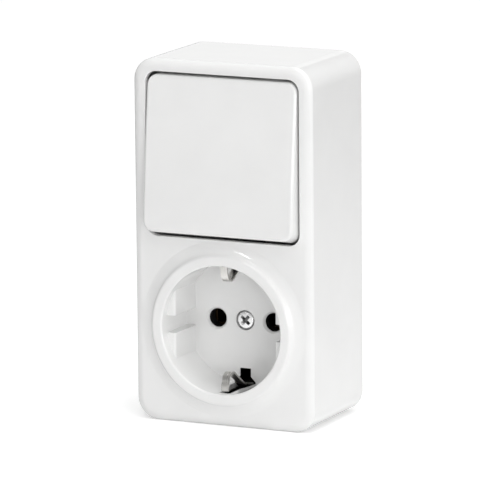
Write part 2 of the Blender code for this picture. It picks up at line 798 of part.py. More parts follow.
def rocker_cap():
    """The crowned front of the rocker, solid, before it is hollowed."""
    bm = block(
        about(0, ROCKER_WIDTH / 2),
        (ROCKER_FACE, ROCKER_FACE + ROCKER_SKIRT),
        about(0, ROCKER_HEIGHT / 2),
        ROCKER_CORNER,
        5,
    )
    edges = front_loop(bm, ROCKER_FACE)
    bmesh.ops.bevel(
        bm, geom=edges, offset=ROCKER_EDGE_ROUND, segments=3, profile=0.5, affect="EDGES"
    )
    strips = 8
    for step in range(1, strips):
        level = ROCKER_HEIGHT * (step / strips - 0.5)
        bmesh.ops.bisect_plane(
            bm,
            geom=bm.verts[:] + bm.edges[:] + bm.faces[:],
            plane_co=(0, 0, level),
            plane_no=(0, 0, 1),
        )
    for vert in bm.verts:
        if vert.co.y < ROCKER_FACE + ROCKER_EDGE_ROUND * 1.01:
            vert.co.y -= ROCKER_CROWN * (1 - (2 * vert.co.z / ROCKER_HEIGHT) ** 2)
    return bm


def make_rocker(parent, look):
    rocker = add_object("rocker", rocker_cap())
    hollow = box(
        "rocker_hollow",
        about(0, ROCKER_WIDTH / 2 - ROCKER_WALL),
        (ROCKER_INSIDE, ROCKER_FACE + ROCKER_SKIRT + WALL),
        about(0, ROCKER_HEIGHT / 2 - ROCKER_WALL),
        ROCKER_CORNER - ROCKER_WALL,
        3,
    )
    cut(rocker, hollow)
    helpers = [hollow]
    for side in (-1, 1):
        for level in (-1, 1):
            inner = level * (TOGGLE_HEIGHT / 2 + SEAT_GAP)
            z = sorted((inner, inner + level * ROCKER_LEG_THICKNESS))
            leg = box(
                f"rocker_leg_{side}_{level}",
                about(side * ROCKER_LEG_X, ROCKER_LEG_WIDTH / 2),
                (ROCKER_INSIDE - ROCKER_FACE_WALL / 2, TOGGLE_BACK + SEAT_GAP),
                z,
            )
            join(rocker, leg)
            helpers.append(leg)
    place_under(parent, rocker, *helpers)
    return finish_part(rocker, look)


def make_toggle(parent, look):
    toggle = box(
        "switch_toggle",
        about(0, TOGGLE_WIDTH / 2),
        (TOGGLE_FACE, TOGGLE_BACK),
        about(0, TOGGLE_HEIGHT / 2),
        helper=False,
    )
    inside = TOGGLE_WIDTH / 2 - CHEEK_THICKNESS
    root = TOGGLE_BACK - TOGGLE_PLATE / 2
    helpers = []
    for side in (-1, 1):
        cheek = box(
            f"toggle_cheek_{side}",
            sorted((side * inside, side * (TOGGLE_WIDTH / 2 - SEAT_GAP / 3))),
            (root, CHEEK_REACH),
            about(0, CHEEK_HALF_HEIGHT),
        )
        far = EAR_INSIDE + EAR_THICKNESS
        near = inside + CHEEK_THICKNESS / 2
        x = sorted((side * near, side * far))
        helpers += [cheek, cross_rod(f"trunnion_{side}", TRUNNION_RADIUS, x, 0, 0)]
    helpers.append(rod("plunger_tube", PLUNGER_TUBE_RADIUS, (root, PLUNGER_TUBE_REACH)))
    join(toggle, *helpers)
    bore = rod(
        "plunger_bore", PLUNGER_BORE_RADIUS, (-PLUNGER_BORE_FLOOR, PLUNGER_TUBE_REACH + WALL)
    )
    cut(toggle, bore)
    place_under(parent, toggle, bore, *helpers)
    return finish_part(toggle, look)


def make_plunger(parent, look):
    flange = PLUNGER_TUBE_REACH - PLUNGER_FLANGE_THICKNESS
    flange_radius = PLUNGER_BORE_RADIUS - SEAT_GAP
    profile = [
        (0, SPRING_WIRE),
        (PLUNGER_STEM_RADIUS, SPRING_WIRE),
        (PLUNGER_STEM_RADIUS, flange),
        (flange_radius, flange),
        (flange_radius, flange + PLUNGER_FLANGE_THICKNESS),
        (PLUNGER_NOSE_RADIUS, flange + PLUNGER_FLANGE_THICKNESS),
        (PLUNGER_NOSE_RADIUS, PLUNGER_TIP_REACH - PLUNGER_NOSE_RADIUS * 0.6),
        (PLUNGER_NOSE_RADIUS * 0.7, PLUNGER_TIP_REACH - PLUNGER_NOSE_RADIUS * 0.2),
        (0, PLUNGER_TIP_REACH),
    ]
    plunger = turned("plunger", profile, sides=SCREW_SIDES, helper=False)
    place_under(parent, plunger)
    return finish_part(plunger, look)


def make_spring(parent, look):
    """A compression spring round the plunger's stem, as a wire along a helix."""
    curve = bpy.data.curves.new("toggle_spring", "CURVE")
    curve.dimensions = "3D"
    curve.bevel_depth = SPRING_WIRE / 2
    curve.bevel_resolution = 1
    curve.use_fill_caps = True
    start = -PLUNGER_BORE_FLOOR + SEAT_GAP + SPRING_WIRE / 2
    end = PLUNGER_TUBE_REACH - PLUNGER_FLANGE_THICKNESS - SEAT_GAP - SPRING_WIRE / 2
    per_turn = 12
    count = SPRING_TURNS * per_turn
    spline = curve.splines.new("POLY")
    spline.points.add(count)
    for number, point in enumerate(spline.points):
        angle = 2 * math.pi * number / per_turn
        y = start + (end - start) * number / count
        x = SPRING_MEAN_RADIUS * math.cos(angle)
        z = SPRING_MEAN_RADIUS * math.sin(angle)
        point.co = (x, y, z, 1)
    spring = bpy.data.objects.new("toggle_spring", curve)
    part_collection.objects.link(spring)
    curve.materials.append(look)
    place_under(parent, spring)
    return spring


# Switch insert


def make_switch_body(look):
    half_width = SWITCH_WIDTH / 2
    half_height = SWITCH_HEIGHT / 2
    body = box(
        "switch_body",
        about(0, half_width),
        (SWITCH_RIM, INSERT_BACK),
        about(ROCKER_Z, half_height),
        SWITCH_CORNER,
        4,
        helper=False,
    )
    open_front = SWITCH_RIM - WALL
    chamber = box(
        "chamber",
        about(0, CHAMBER_WIDTH / 2),
        (open_front, CHAMBER_FLOOR_Y),
        about(ROCKER_Z, CHAMBER_HEIGHT / 2),
    )
    cut(body, chamber)
    pocket_start = CHAMBER_HEIGHT / 2 + POCKET_WALL
    for side in (-1, 1):
        for level in (-1, 1):
            x = about(side * TERMINAL_X, POCKET_WIDTH / 2)
            z = sorted((level * pocket_start, level * (half_height + WALL)))
            pocket = box(
                f"pocket_{side}_{level}",
                x,
                (open_front, POCKET_FLOOR_Y),
                (ROCKER_Z + z[0], ROCKER_Z + z[1]),
            )
            notch_half = STRIP_WIDTH / 2 + SEAT_GAP
            z = sorted((level * (pocket_start - 2 * POCKET_WALL), level * (pocket_start + POCKET_WALL)))
            notch = box(
                f"notch_{side}_{level}",
                about(side * TERMINAL_X, notch_half),
                (open_front, STRIP_FACE + STRIP_THICKNESS + SEAT_GAP),
                (ROCKER_Z + z[0], ROCKER_Z + z[1]),
            )
            cut(body, pocket, notch)
    for side in (-1, 1):
        x = sorted((side * EAR_INSIDE, side * (EAR_INSIDE + EAR_THICKNESS)))
        ear = box(
            f"ear_{side}",
            x,
            (PIVOT_Y - TRUNNION_RADIUS - EAR_THICKNESS / 2, SWITCH_RIM + WALL),
            about(ROCKER_Z, EAR_HALF_HEIGHT),
        )
        join(body, ear)
        cut(
            body,
            cross_rod(
                f"ear_hole_{side}",
                TRUNNION_RADIUS + PIVOT_GAP,
                (x[0] - WALL, x[1] + WALL),
                PIVOT_Y,
                ROCKER_Z,
            ),
        )
    for name in ("switch_fixing_screw_1", "switch_fixing_screw_2"):
        cut(body, *fixing_wells(name, SWITCH_RIM))
    return finish_part(body, look)


def fixing_wells(name, rim):
    """The counterbore, hole and boss recess through an insert for one fixing screw."""
    place = fixing_places()[name]
    head = SCREW_HEAD_RADIUS + SLIDE_GAP
    return (
        rod(f"well_{name}", head, (rim - WALL, SCREW_SEAT_Y), place),
        rod(f"passage_{name}", FIXING_RADIUS + SLIDE_GAP, (rim - WALL, WALL), place),
        rod(f"boss_seat_{name}", BOSS_RADIUS + SLIDE_GAP, (BOSS_TOP - SEAT_GAP, WALL), place),
    )


def fixed_contact(name, level, look):
    """A flat strip from under one end of the lever to its terminal, with a contact rivet."""
    y = STRIP_FACE + STRIP_THICKNESS / 2
    near = ROCKER_Z + level * (RIVET_REACH - STRIP_WIDTH / 2)
    turn_at = ROCKER_Z + level * RIVET_REACH
    far = ROCKER_Z + level * (TERMINAL_REACH + STRIP_WIDTH / 2)
    strip = folded_strip(
        name,
        [(-TERMINAL_X, y, near), (-TERMINAL_X, y, far)],
        (1, 0, 0),
        STRIP_WIDTH,
        STRIP_THICKNESS,
    )
    arm = box(
        f"{name}_arm",
        (-TERMINAL_X, STRIP_WIDTH / 2),
        (STRIP_FACE, STRIP_FACE + STRIP_THICKNESS),
        about(turn_at, STRIP_WIDTH / 2),
        STRIP_WIDTH / 4,
        3,
    )
    rivet = turned(
        f"{name}_rivet",
        [
            (0, STRIP_FACE - RIVET_HEIGHT),
            (RIVET_RADIUS * 0.7, STRIP_FACE - RIVET_HEIGHT * 0.8),
            (RIVET_RADIUS, STRIP_FACE - RIVET_HEIGHT * 0.3),
            (RIVET_RADIUS, STRIP_FACE + STRIP_THICKNESS / 2),
            (0, STRIP_FACE + STRIP_THICKNESS / 2),
        ],
        (0, turn_at),
        SMALL_SIDES,
    )
    join(strip, arm, rivet)
    strip_hole(strip, (-TERMINAL_X, ROCKER_Z + level * TERMINAL_REACH), y)
    return finish_part(strip, look)


def make_common_contact(look):
    """The fulcrum under the lever and its strip, which steps up to the third terminal."""
    low = CHAMBER_FLOOR_Y - SEAT_GAP - STRIP_THICKNESS / 2
    high = STRIP_FACE + STRIP_THICKNESS / 2
    riser = ROCKER_Z + CHAMBER_HEIGHT / 2 - STRIP_THICKNESS / 2 - SEAT_GAP
    far = ROCKER_Z + TERMINAL_REACH + STRIP_WIDTH / 2
    strip = folded_strip(
        "common_contact",
        [
            (TERMINAL_X, low, ROCKER_Z - STRIP_WIDTH / 2),
            (TERMINAL_X, low, riser),
            (TERMINAL_X, high, riser),
            (TERMINAL_X, high, far),
        ],
        (1, 0, 0),
        STRIP_WIDTH,
        STRIP_THICKNESS,
    )
    foot = box(
        "fulcrum_foot",
        (-LEVER_WIDTH / 2, TERMINAL_X),
        (low - STRIP_THICKNESS / 2, low + STRIP_THICKNESS / 2),
        about(ROCKER_Z, STRIP_WIDTH / 2),
    )
    blade = folded_strip(
        "fulcrum_blade",
        [(0, LEVER_Y + SEAT_GAP, ROCKER_Z), (0, low, ROCKER_Z)],
        (1, 0, 0),
        LEVER_WIDTH,
        STRIP_THICKNESS,
        helper=True,
    )
    join(strip, foot, blade)
    strip_hole(strip, (TERMINAL_X, ROCKER_Z + TERMINAL_REACH), high)
    return finish_part(strip, look)


def make_lever(parent, look):
    """The rocking contact, modelled about its fulcrum and lying level."""
    half = LEVER_LENGTH / 2
    lever = folded_strip(
        "contact_lever",
        [(0, -LEVER_THICKNESS / 2, -half), (0, -LEVER_THICKNESS / 2, half)],
        (1, 0, 0),
        LEVER_WIDTH,
        LEVER_THICKNESS,
    )
    rivets = []
    for level in (-1, 1):
        profile = [
            (0, -LEVER_THICKNESS / 2),
            (RIVET_RADIUS, -LEVER_THICKNESS / 2),
            (RIVET_RADIUS, RIVET_HEIGHT * 0.3),
            (RIVET_RADIUS * 0.7, RIVET_HEIGHT * 0.8),
            (0, RIVET_HEIGHT),
        ]
        rivets.append(turned(f"lever_rivet_{level}", profile, (0, level * RIVET_REACH), SMALL_SIDES))
    join(lever, *rivets)
    place_under(parent, lever, *rivets)
    return finish_part(lever, look)


# Socket insert


def terminal_place(side, level):
    return (side * SOCKET_TERMINAL_X, SOCKET_Z + level * SOCKET_TERMINAL_REACH)


def make_socket_body(look):
    half_width = INSERT_WIDTH / 2
    half_height = INSERT_HEIGHT / 2
    body = box(
        "socket_body",
        about(0, half_width),
        (INSERT_FRONT, INSERT_BACK),
        about(SOCKET_Z, half_height),
        INSERT_CORNER,
        4,
        helper=False,
    )
    front = INSERT_FRONT - WALL
    channel_half = STRAP_WIDTH / 2 + SLIDE_GAP
    channel_floor = INSERT_FRONT + STRAP_CHANNEL_DEPTH
    cutters = [
        box(
            "strap_channel",
            about(0, channel_half),
            (front, channel_floor),
            about(SOCKET_Z, half_height + WALL),
        )
    ]
    screw_end = FLOOR_FACE + COVER_SCREW_HEAD_HEIGHT + COVER_SCREW_LENGTH + 2 * SEAT_GAP
    cutters.append(
        rod("cover_screw_hole", COVER_SCREW_RADIUS + SEAT_GAP, (front, screw_end), (0, SOCKET_Z))
    )
    finger = SLEEVE_GAP / 2 + STRIP_THICKNESS + SLEEVE_CHAMBER_GAP
    for side in (-1, 1):
        centre = side * PIN_PITCH / 2
        cutters.append(
            rod(
                f"insert_pin_hole_{side}",
                PIN_HOLE_RADIUS + PIVOT_GAP,
                (front, INSERT_BACK + WALL),
                (centre, SOCKET_Z),
            )
        )
        chamber_half = SLEEVE_WIDTH / 2 + STRIP_THICKNESS + SEAT_GAP
        chamber_front = INSERT_FRONT + SLEEVE_END_INSET - SEAT_GAP
        cutters.append(
            box(
                f"sleeve_chamber_{side}",
                about(centre, chamber_half),
                (chamber_front, INSERT_BACK + WALL),
                about(SOCKET_Z, finger),
            )
        )
        tail_x = side * (PIN_PITCH / 2 + SLEEVE_WIDTH / 2)
        cutters.append(
            box(
                f"tail_channel_{side}",
                sorted((tail_x - side * STRIP_THICKNESS, side * SOCKET_TERMINAL_X)),
                (SOCKET_TERMINAL_Y - SEAT_GAP, INSERT_BACK + WALL),
                (SOCKET_Z, SOCKET_Z + SOCKET_TERMINAL_REACH + STRIP_WIDTH / 2 + SEAT_GAP),
            )
        )
    for side in (-1, 1):
        for level in (-1, 1):
            x, z = terminal_place(side, level)
            outward = sorted((z - level * POCKET_WIDTH / 2, z + level * (POCKET_WIDTH / 2 + WALL)))
            cutters.append(
                box(
                    f"terminal_pocket_{side}_{level}",
                    about(x, POCKET_WIDTH / 2),
                    (front, SOCKET_TERMINAL_Y + TERMINAL_SCREW_LENGTH - CLAMP_THICKNESS),
                    outward,
                )
            )
    x, z = terminal_place(-1, -1)
    cutters.append(
        box(
            "earth_tab_channel",
            (x, 0),
            (front, channel_floor),
            about(z, STRIP_WIDTH / 2 + SLIDE_GAP),
        )
    )
    cut(body, *cutters)
    for name in ("socket_fixing_screw_1", "socket_fixing_screw_2"):
        cut(body, *fixing_wells(name, INSERT_FRONT))
    join(body, *slot_backs(channel_floor + SEAT_GAP, half_height - WALL))
    return finish_part(body, look)


def slot_backs(foot_front, root):
    """The upright behind each clip slot in the cup's wall, on a foot that passes behind the strap."""
    near = max(CUP_RADIUS, STRAP_REACH + STRIP_THICKNESS / 2) + SLOT_BACK_GAP
    far = near + SLOT_BACK_THICKNESS
    foot_back = foot_front + SLOT_BACK_THICKNESS
    top = FRONT + WALL + SLIDE_GAP
    side = [
        (top, near),
        (top, far),
        (foot_back, far),
        (foot_back, root),
        (foot_front, root),
        (foot_front, near),
    ]
    return [
        prism(
            f"slot_back_{level}",
            [(y, SOCKET_Z + level * reach) for y, reach in side],
            about(0, SLOT_BACK_HALF_WIDTH),
            (2, 0, 1),
        )
        for level in (-1, 1)
    ]


def make_sleeve(side, name, look):
    """A spring fork that grips one pin, with a tail to its terminal tab, folded from one strip."""
    centre = side * PIN_PITCH / 2
    reach = SLEEVE_WIDTH / 2
    finger = (SLEEVE_GAP + STRIP_THICKNESS) / 2
    front = INSERT_FRONT + SLEEVE_END_INSET
    back = INSERT_BACK - SLEEVE_END_INSET
    middle = (front + back) / 2
    web = centre + side * reach
    inner = centre - side * reach
    fork = folded_strip(
        name,
        [
            (inner, middle, SOCKET_Z - finger),
            (web, middle, SOCKET_Z - finger),
            (web, middle, SOCKET_Z + finger),
            (inner, middle, SOCKET_Z + finger),
        ],
        (0, 1, 0),
        back - front,
        STRIP_THICKNESS,
    )
    x, z = terminal_place(side, 1)
    tab_y = SOCKET_TERMINAL_Y + STRIP_THICKNESS / 2
    tail = folded_strip(
        f"{name}_tail",
        [
            (web, (tab_y + back) / 2, SOCKET_Z),
            (web, (tab_y + back) / 2, z + STRIP_WIDTH / 2),
        ],
        (0, 1, 0),
        back - tab_y,
        STRIP_THICKNESS,
        helper=True,
    )
    tab = folded_strip(
        f"{name}_tab",
        [(web, tab_y, z), (x + side * STRIP_WIDTH / 2, tab_y, z)],
        (0, 0, 1),
        STRIP_WIDTH,
        STRIP_THICKNESS,
        helper=True,
    )
    join(fork, tail, tab)
    strip_hole(fork, (x, z), tab_y)
    return finish_part(fork, look)


def make_earth_strap(look):
    """The strap behind the recess floor, its upturned ends and the springy clip from each end."""
    y = INSERT_FRONT + STRAP_CHANNEL_DEPTH - SEAT_GAP - STRIP_THICKNESS / 2
    end = COLLAR_TOP + STRAP_END_DEPTH
    strap = folded_strip(
        "earth_strap",
        [
            (0, end, SOCKET_Z - STRAP_REACH),
            (0, y, SOCKET_Z - STRAP_REACH),
            (0, y, SOCKET_Z + STRAP_REACH),
            (0, end, SOCKET_Z + STRAP_REACH),
        ],
        (1, 0, 0),
        STRAP_WIDTH,
        STRIP_THICKNESS,
    )
    for level in (-1, 1):
        path = [(end + CLIP_WIDTH, STRAP_REACH), (end, STRAP_REACH)]
        path += [(COLLAR_TOP + depth, RECESS_RADIUS - inset) for depth, inset in CLIP_CURVE]
        clip = folded_strip(
            f"clip_{level}",
            [(0, level_y, SOCKET_Z + level * reach) for level_y, reach in path],
            (1, 0, 0),
            CLIP_WIDTH,
            CLIP_THICKNESS,
            helper=True,
        )
        join(strap, clip)
    x, z = terminal_place(-1, -1)
    tab = folded_strip(
        "earth_tab",
        [(0, y, z), (x - STRIP_WIDTH / 2, y, z)],
        (0, 0, 1),
        STRIP_WIDTH,
        STRIP_THICKNESS,
        helper=True,
    )
    join(strap, tab)
    cut(
        strap,
        rod("strap_hub_hole", COVER_SCREW_RADIUS + SEAT_GAP, (y - WALL, y + WALL), (0, SOCKET_Z)),
    )
    strip_hole(strap, (x, z), y)
    return finish_part(strap, look)


def main():
    global part_collection, cutter_collection
    clear_scene()
    part_collection = new_collection("switch_and_socket")
    cutter_collection = new_collection("cutters", hidden=True)
    white = material("gloss_white", (0.83, 0.83, 0.83), 0.22)
    grey = material("base_grey", (0.72, 0.72, 0.71), 0.5)
    insert_black = material("insert_black", (0.025, 0.025, 0.027), 0.45)
    nickel = material("nickel", (0.72, 0.7, 0.66), 0.28, 1.0)
    brass = material("brass", (0.8, 0.6, 0.3), 0.35, 1.0)
    steel = material("steel", (0.7, 0.7, 0.7), 0.35, 1.0)

    make_housing(white)
    make_base_plate(grey)
    make_cover_screw(steel)

    rocker_pivot = pivot("rocker_pivot", PIVOT_Y, ROCKER_Z, -ROCKER_TILT)
    make_rocker(rocker_pivot, white)
    make_toggle(rocker_pivot, insert_black)
    make_plunger(rocker_pivot, insert_black)
    make_spring(rocker_pivot, steel)
    lever_pivot = pivot("lever_pivot", LEVER_Y, ROCKER_Z, LEVER_TILT)
    make_lever(lever_pivot, brass)

    make_switch_body(insert_black)
    fixed_contact("upper_contact", 1, brass)
    fixed_contact("lower_contact", -1, brass)
    make_common_contact(brass)
    switch_terminals = ((-TERMINAL_X, 1), (-TERMINAL_X, -1), (TERMINAL_X, 1))
    for number, (x, level) in enumerate(switch_terminals, 1):
        place = (x, ROCKER_Z + level * TERMINAL_REACH)
        make_terminal("switch", number, place, STRIP_FACE, brass, steel, number)

    make_socket_body(insert_black)
    make_sleeve(-1, "contact_sleeve_left", brass)
    make_sleeve(1, "contact_sleeve_right", brass)
    make_earth_strap(nickel)
    strap_front = INSERT_FRONT + STRAP_CHANNEL_DEPTH - SEAT_GAP - STRIP_THICKNESS
    make_terminal("socket", 1, terminal_place(-1, 1), SOCKET_TERMINAL_Y, brass, steel, 0.6)
    make_terminal("socket", 2, terminal_place(1, 1), SOCKET_TERMINAL_Y, brass, steel, 1.9)
    make_terminal("socket", 3, terminal_place(-1, -1), strap_front, nickel, steel, 2.7)

    for turn, (name, place) in enumerate(fixing_places().items()):
        head_back = SCREW_SEAT_Y - SEAT_GAP
        make_screw(name, place, head_back, FIXING_RADIUS, FIXING_LENGTH, steel, turn)


main()
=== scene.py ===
"""Looks of the switch and socket combination: fine mouldings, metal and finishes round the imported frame.

Metres, in the frame's own axes: +Y runs into the wall, +X is the viewer's right, +Z up. The pieces take
their places from the frame's nodes, and each stands for the node that it replaces.
"""

import json
import math

import bmesh
import bpy
from mathutils import Matrix, Vector


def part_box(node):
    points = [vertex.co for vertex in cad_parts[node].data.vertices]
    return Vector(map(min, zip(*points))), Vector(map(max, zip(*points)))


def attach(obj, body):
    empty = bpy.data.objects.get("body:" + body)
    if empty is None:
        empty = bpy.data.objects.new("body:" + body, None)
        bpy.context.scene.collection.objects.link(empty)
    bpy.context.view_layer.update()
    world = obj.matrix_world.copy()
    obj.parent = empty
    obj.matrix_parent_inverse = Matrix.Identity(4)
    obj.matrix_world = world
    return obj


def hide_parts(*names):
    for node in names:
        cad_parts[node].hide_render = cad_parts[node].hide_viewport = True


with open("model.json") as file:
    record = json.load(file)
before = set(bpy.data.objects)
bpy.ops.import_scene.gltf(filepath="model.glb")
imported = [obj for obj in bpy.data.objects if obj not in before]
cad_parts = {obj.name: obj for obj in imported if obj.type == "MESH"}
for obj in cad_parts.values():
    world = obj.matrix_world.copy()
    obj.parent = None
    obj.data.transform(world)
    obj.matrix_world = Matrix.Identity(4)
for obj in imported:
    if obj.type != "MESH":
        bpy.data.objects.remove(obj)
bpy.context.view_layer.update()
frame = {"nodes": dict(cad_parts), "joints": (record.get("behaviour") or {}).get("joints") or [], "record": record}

# Places read from the frame
HOUSING_LOW, HOUSING_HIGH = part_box("housing")
SCREW_LOW, SCREW_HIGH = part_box("cover_screw")
STRAP_LOW, STRAP_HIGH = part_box("earth_strap")
CLAMP_LOW, CLAMP_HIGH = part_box("socket_clamp_3")
ROCKER_JOINT = next(j for j in frame["joints"] if j["name"] == "rocker_tilt")
HALF_WIDTH = HOUSING_HIGH.x
HALF_HEIGHT = HOUSING_HIGH.z
COLLAR_TOP = HOUSING_LOW.y
SOCKET_Z = (SCREW_LOW.z + SCREW_HIGH.z) / 2
PIVOT = Vector(ROCKER_JOINT["pos_m"])

# Housing
COLLAR_HEIGHT = 0.0021
FRONT = COLLAR_TOP + COLLAR_HEIGHT
WALL = 0.0022
BODY_CORNER = 0.007
BEVEL_WIDTH = 0.0028
BEVEL_DEPTH = 0.0012
CREASE_ROUND = 0.00035
CREASE_BULGE = 0.25
CREASE_LEAD = 0.35
HOLLOW_ROUND = 0.001
EDGE_ROUND = 0.00015
SMALL_EDGE = 0.0001

# Opening of the rocker, whose cutter starts a little ahead of the front
OPENING_MARGIN = 0.0042
OPENING_HALF_WIDTH = HALF_WIDTH - OPENING_MARGIN
OPENING_HALF_HEIGHT = 0.0254
OPENING_CORNER = 0.0037
OPENING_EDGE_ROUND = 0.0003
OPENING_AHEAD = 0.001

# Recess, and the collar round it as radii and depths below its top
RECESS_DEPTH = 0.0176
RECESS_RADIUS = 0.0199
FLOOR_THICKNESS = 0.0026
FLOOR_FACE = COLLAR_TOP + RECESS_DEPTH
FLOOR_BACK = FLOOR_FACE + FLOOR_THICKNESS
FLOOR_ROUND = 0.0003
MOUTH_ROUND = 0.0006
CUP_WALL = 0.0018
CUP_RADIUS = RECESS_RADIUS + CUP_WALL
COLLAR_CURVE = (
    (0.0224, 0.0),
    (0.0229, 0.0001),
    (0.0233, 0.00042),
    (0.0237, 0.00092),
    (0.0242, 0.00127),
    (0.0248, 0.0015),
    (0.0255, 0.00171),
    (0.0262, 0.0019),
    (0.0267, 0.002),
    (0.02705, 0.00206),
    (0.02735, 0.002105),
)

# Guide pads, which reach a little into the recess wall and floor
PAD_HALF_SPAN = 0.0168
PAD_DEPTH = 0.0034
PAD_TOP = COLLAR_TOP + PAD_DEPTH
PAD_SLOT_HALF = 0.0027
PAD_CHAMFER = 0.00065
PAD_IN_WALL = 0.0009
PAD_IN_FLOOR = 0.0003

# Slots of the earth clips: the wall's as depths below the collar's top and half widths, the floor's from the
# socket's axis outward. Their cutters start a little ahead of the face that they open.
CLIP_WALL_SLOT = ((0.0027, 0.00185), (0.0095, 0.00185), (0.0135, 0.0033), (0.0182, 0.00345))
CLIP_SLOT_FRONT = COLLAR_TOP + CLIP_WALL_SLOT[0][0]
CLIP_SLOT_LIP = 0.0005
CLIP_SLOT_RELIEF = 0.0014
CLIP_SLOT_AHEAD = 0.0006
CLIP_SLOT_MARGIN = 0.0004
CLIP_RELIEF_HALF = 0.0035
CLIP_FLOOR_SLOT_HALF = 0.00185
CLIP_FLOOR_SLOT_START = 0.015
CLIP_FLARE_START = 0.0176
CLIP_FLARE_HALF = CLIP_WALL_SLOT[-1][1]

# Holes in the recess floor
PIN_HALF_PITCH = 0.0095
PIN_HOLE_RADIUS = 0.0029
PIN_HOLE_CHAMFER = 0.0006
PIN_HOLE_LIP = 0.0009
PIN_RELIEF_RADIUS = 0.0044
SCREW_WELL_RADIUS = 0.00312
SCREW_SEAT_DEPTH = 0.0019
SCREW_PASSAGE = 0.0018

# Rocker, about its pivot and lying level
ROCKER_TILT = math.radians(5.3)
ROCKER_SIDE_GAP = 0.00068
ROCKER_END_GAP = 0.0013
ROCKER_HALF_WIDTH = OPENING_HALF_WIDTH - ROCKER_SIDE_GAP
ROCKER_HALF_HEIGHT = OPENING_HALF_HEIGHT - ROCKER_END_GAP
ROCKER_FACE = -0.00595
ROCKER_SKIRT = 0.0065
ROCKER_BACK = ROCKER_FACE + ROCKER_SKIRT
ROCKER_DRAFT = 0.0008
ROCKER_CORNER = 0.0034
ROCKER_EDGE_ROUND = 0.0009
ROCKER_WALL = 0.0016
ROCKER_FACE_WALL = 0.0018
ROCKER_INSIDE = ROCKER_FACE + ROCKER_FACE_WALL
CROWN_HEIGHT = 0.00035
CROWN_STRIPS = 28
CROWN_REACH = 1.4
LEG_WIDTH = 0.003
LEG_THICKNESS = 0.0014
LEG_X = 0.0095
LEG_NEAR = 0.0093
LEG_END = -0.00195

# Cover screw, whose cross recess narrows from its mouth to its bottom: half length and half width of an arm
SCREW_HEAD = 0.0014
SCREW_HEAD_ROUND = 0.0006
SCREW_SHAFT = 0.0015
SCREW_TIP = 0.0013
THREAD_PITCH = 0.0006
THREAD_CREST = (0.4, 0.55)
THREAD_DEPTH = 0.00025
THREAD_START = 0.0012
THREAD_END = 0.0016
CROSS_TURN = 42
CROSS_DEPTH = 0.0011
CROSS_START = 0.00044
CROSS_MOUTH = (0.002185, 0.00056)
CROSS_BOTTOM = (0.000855, 0.0004)

# Earth strap: the clip's curve as depths below the collar's top and insets from the recess wall, and the
# shoulder's as shares of its length and of its step inward
STRAP_HALF_WIDTH = 0.0031
STRAP_THICKNESS = 0.0008
STRAP_BEND = 0.0011
STRAP_EDGE = 0.00008
STRAP_END_DEPTH = 0.0164
STRAP_END = COLLAR_TOP + STRAP_END_DEPTH
STRAP_Y = STRAP_HIGH.y - STRAP_THICKNESS / 2
STRAP_FACES = (STRAP_Y - STRAP_THICKNESS / 2, STRAP_Y + STRAP_THICKNESS / 2)
STRAP_REACH = STRAP_HIGH.z - SOCKET_Z - STRAP_THICKNESS / 2
SHOULDER_INWARD = 0.0011
SHOULDER_LENGTH = 0.002
SHOULDER_CURVE = ((0, 1), (0.45, 0.85), (0.8, 0.25), (1.2, 0))
CLIP_HALF_WIDTH = 0.00115
CLIP_THICKNESS = 0.0006
CLIP_CURVE = (
    (0.0147, 0.0008),
    (0.009, 0.0046),
    (0.0076, 0.00555),
    (0.0063, 0.0058),
    (0.005, 0.0055),
    (0.00395, 0.0045),
    (0.00335, 0.0029),
    (0.0031, 0.0006),
)
CLIP_UPPER_HANG = 0.92
TAB_HALF_WIDTH = 0.0025
TAB_HOLE_RADIUS = 0.00175

# How finely curves and rounds are divided
BODY_STEPS = 24
CORNER_STEPS = 12
INNER_STEPS = 6
CREASE_STEPS = 4
BEVEL_STEPS = 14
EDGE_STEPS = 4
ROUND_STEPS = 6
FLOOR_ROUND_STEPS = 3
ROCKER_EDGE_STEPS = 8
PAD_CHAMFER_STEPS = 8
PAD_EDGE_STEPS = 3
CURVE_STEPS = 4
CLIP_STEPS = 6
RECESS_SIDES = 192
HOLE_SIDES = 64
SCREW_SIDES = 48
STRAP_HOLE_SIDES = 32

# Limits for finishing a mesh: angles in degrees, the distance within which two places are the same, and how
# much the larger faces steer the shading, out of 100
SHARP_ANGLE = 28
BLOCK_SHARP_ANGLE = 30
ROUNDED_ANGLE = 40
FLAT_ANGLE = 0.3
SAME_PLACE = 1e-6
NORMAL_WEIGHT = 60

# Finishes: noises by their scale, and the depths between which a tone turns into painted shade inside a hollow
NOISE_RANGE = (0.3, 0.7)
PLASTIC_CLOUD_SCALE = 90
PLASTIC_HAZE_SCALE = 260
GRAIN_STRENGTH = 0.1
METAL_CLOUD_SCALE = 150
LINE_SCALE = 700
LINE_STRENGTH = 0.15
LINE_DEPTH = 0.00002
SCREW_TONE = (0.88, 0.88, 0.88)
# Painted shade: the cross recess turns dark with depth in place of the shade that light would give it
CROSS_PAINTED_SHADE = (0.16, 0.16, 0.16)
CROSS_SHADE = (SCREW_LOW.y + 0.00015, SCREW_LOW.y + 0.0009)
STRAP_TONE = (0.66, 0.65, 0.625)
# Painted shade: the strap turns near black behind the recess floor, so that the clip slots read as dark
STRAP_PAINTED_SHADE = (0.012, 0.011, 0.01)
STRAP_SHADE_DEPTHS = (FLOOR_FACE - 0.0024, FLOOR_FACE - 0.0008)

# Floor and world
FLOOR_TONE = (0.86, 0.86, 0.86)
FLOOR_FAR_TONE = (0.3, 0.3, 0.3)
FLOOR_GLOW = 0.41
FLOOR_NEAR = 0.06
FLOOR_FAR = 0.6
FLOOR_HALF = 4
WORLD_LEVEL = 0.25

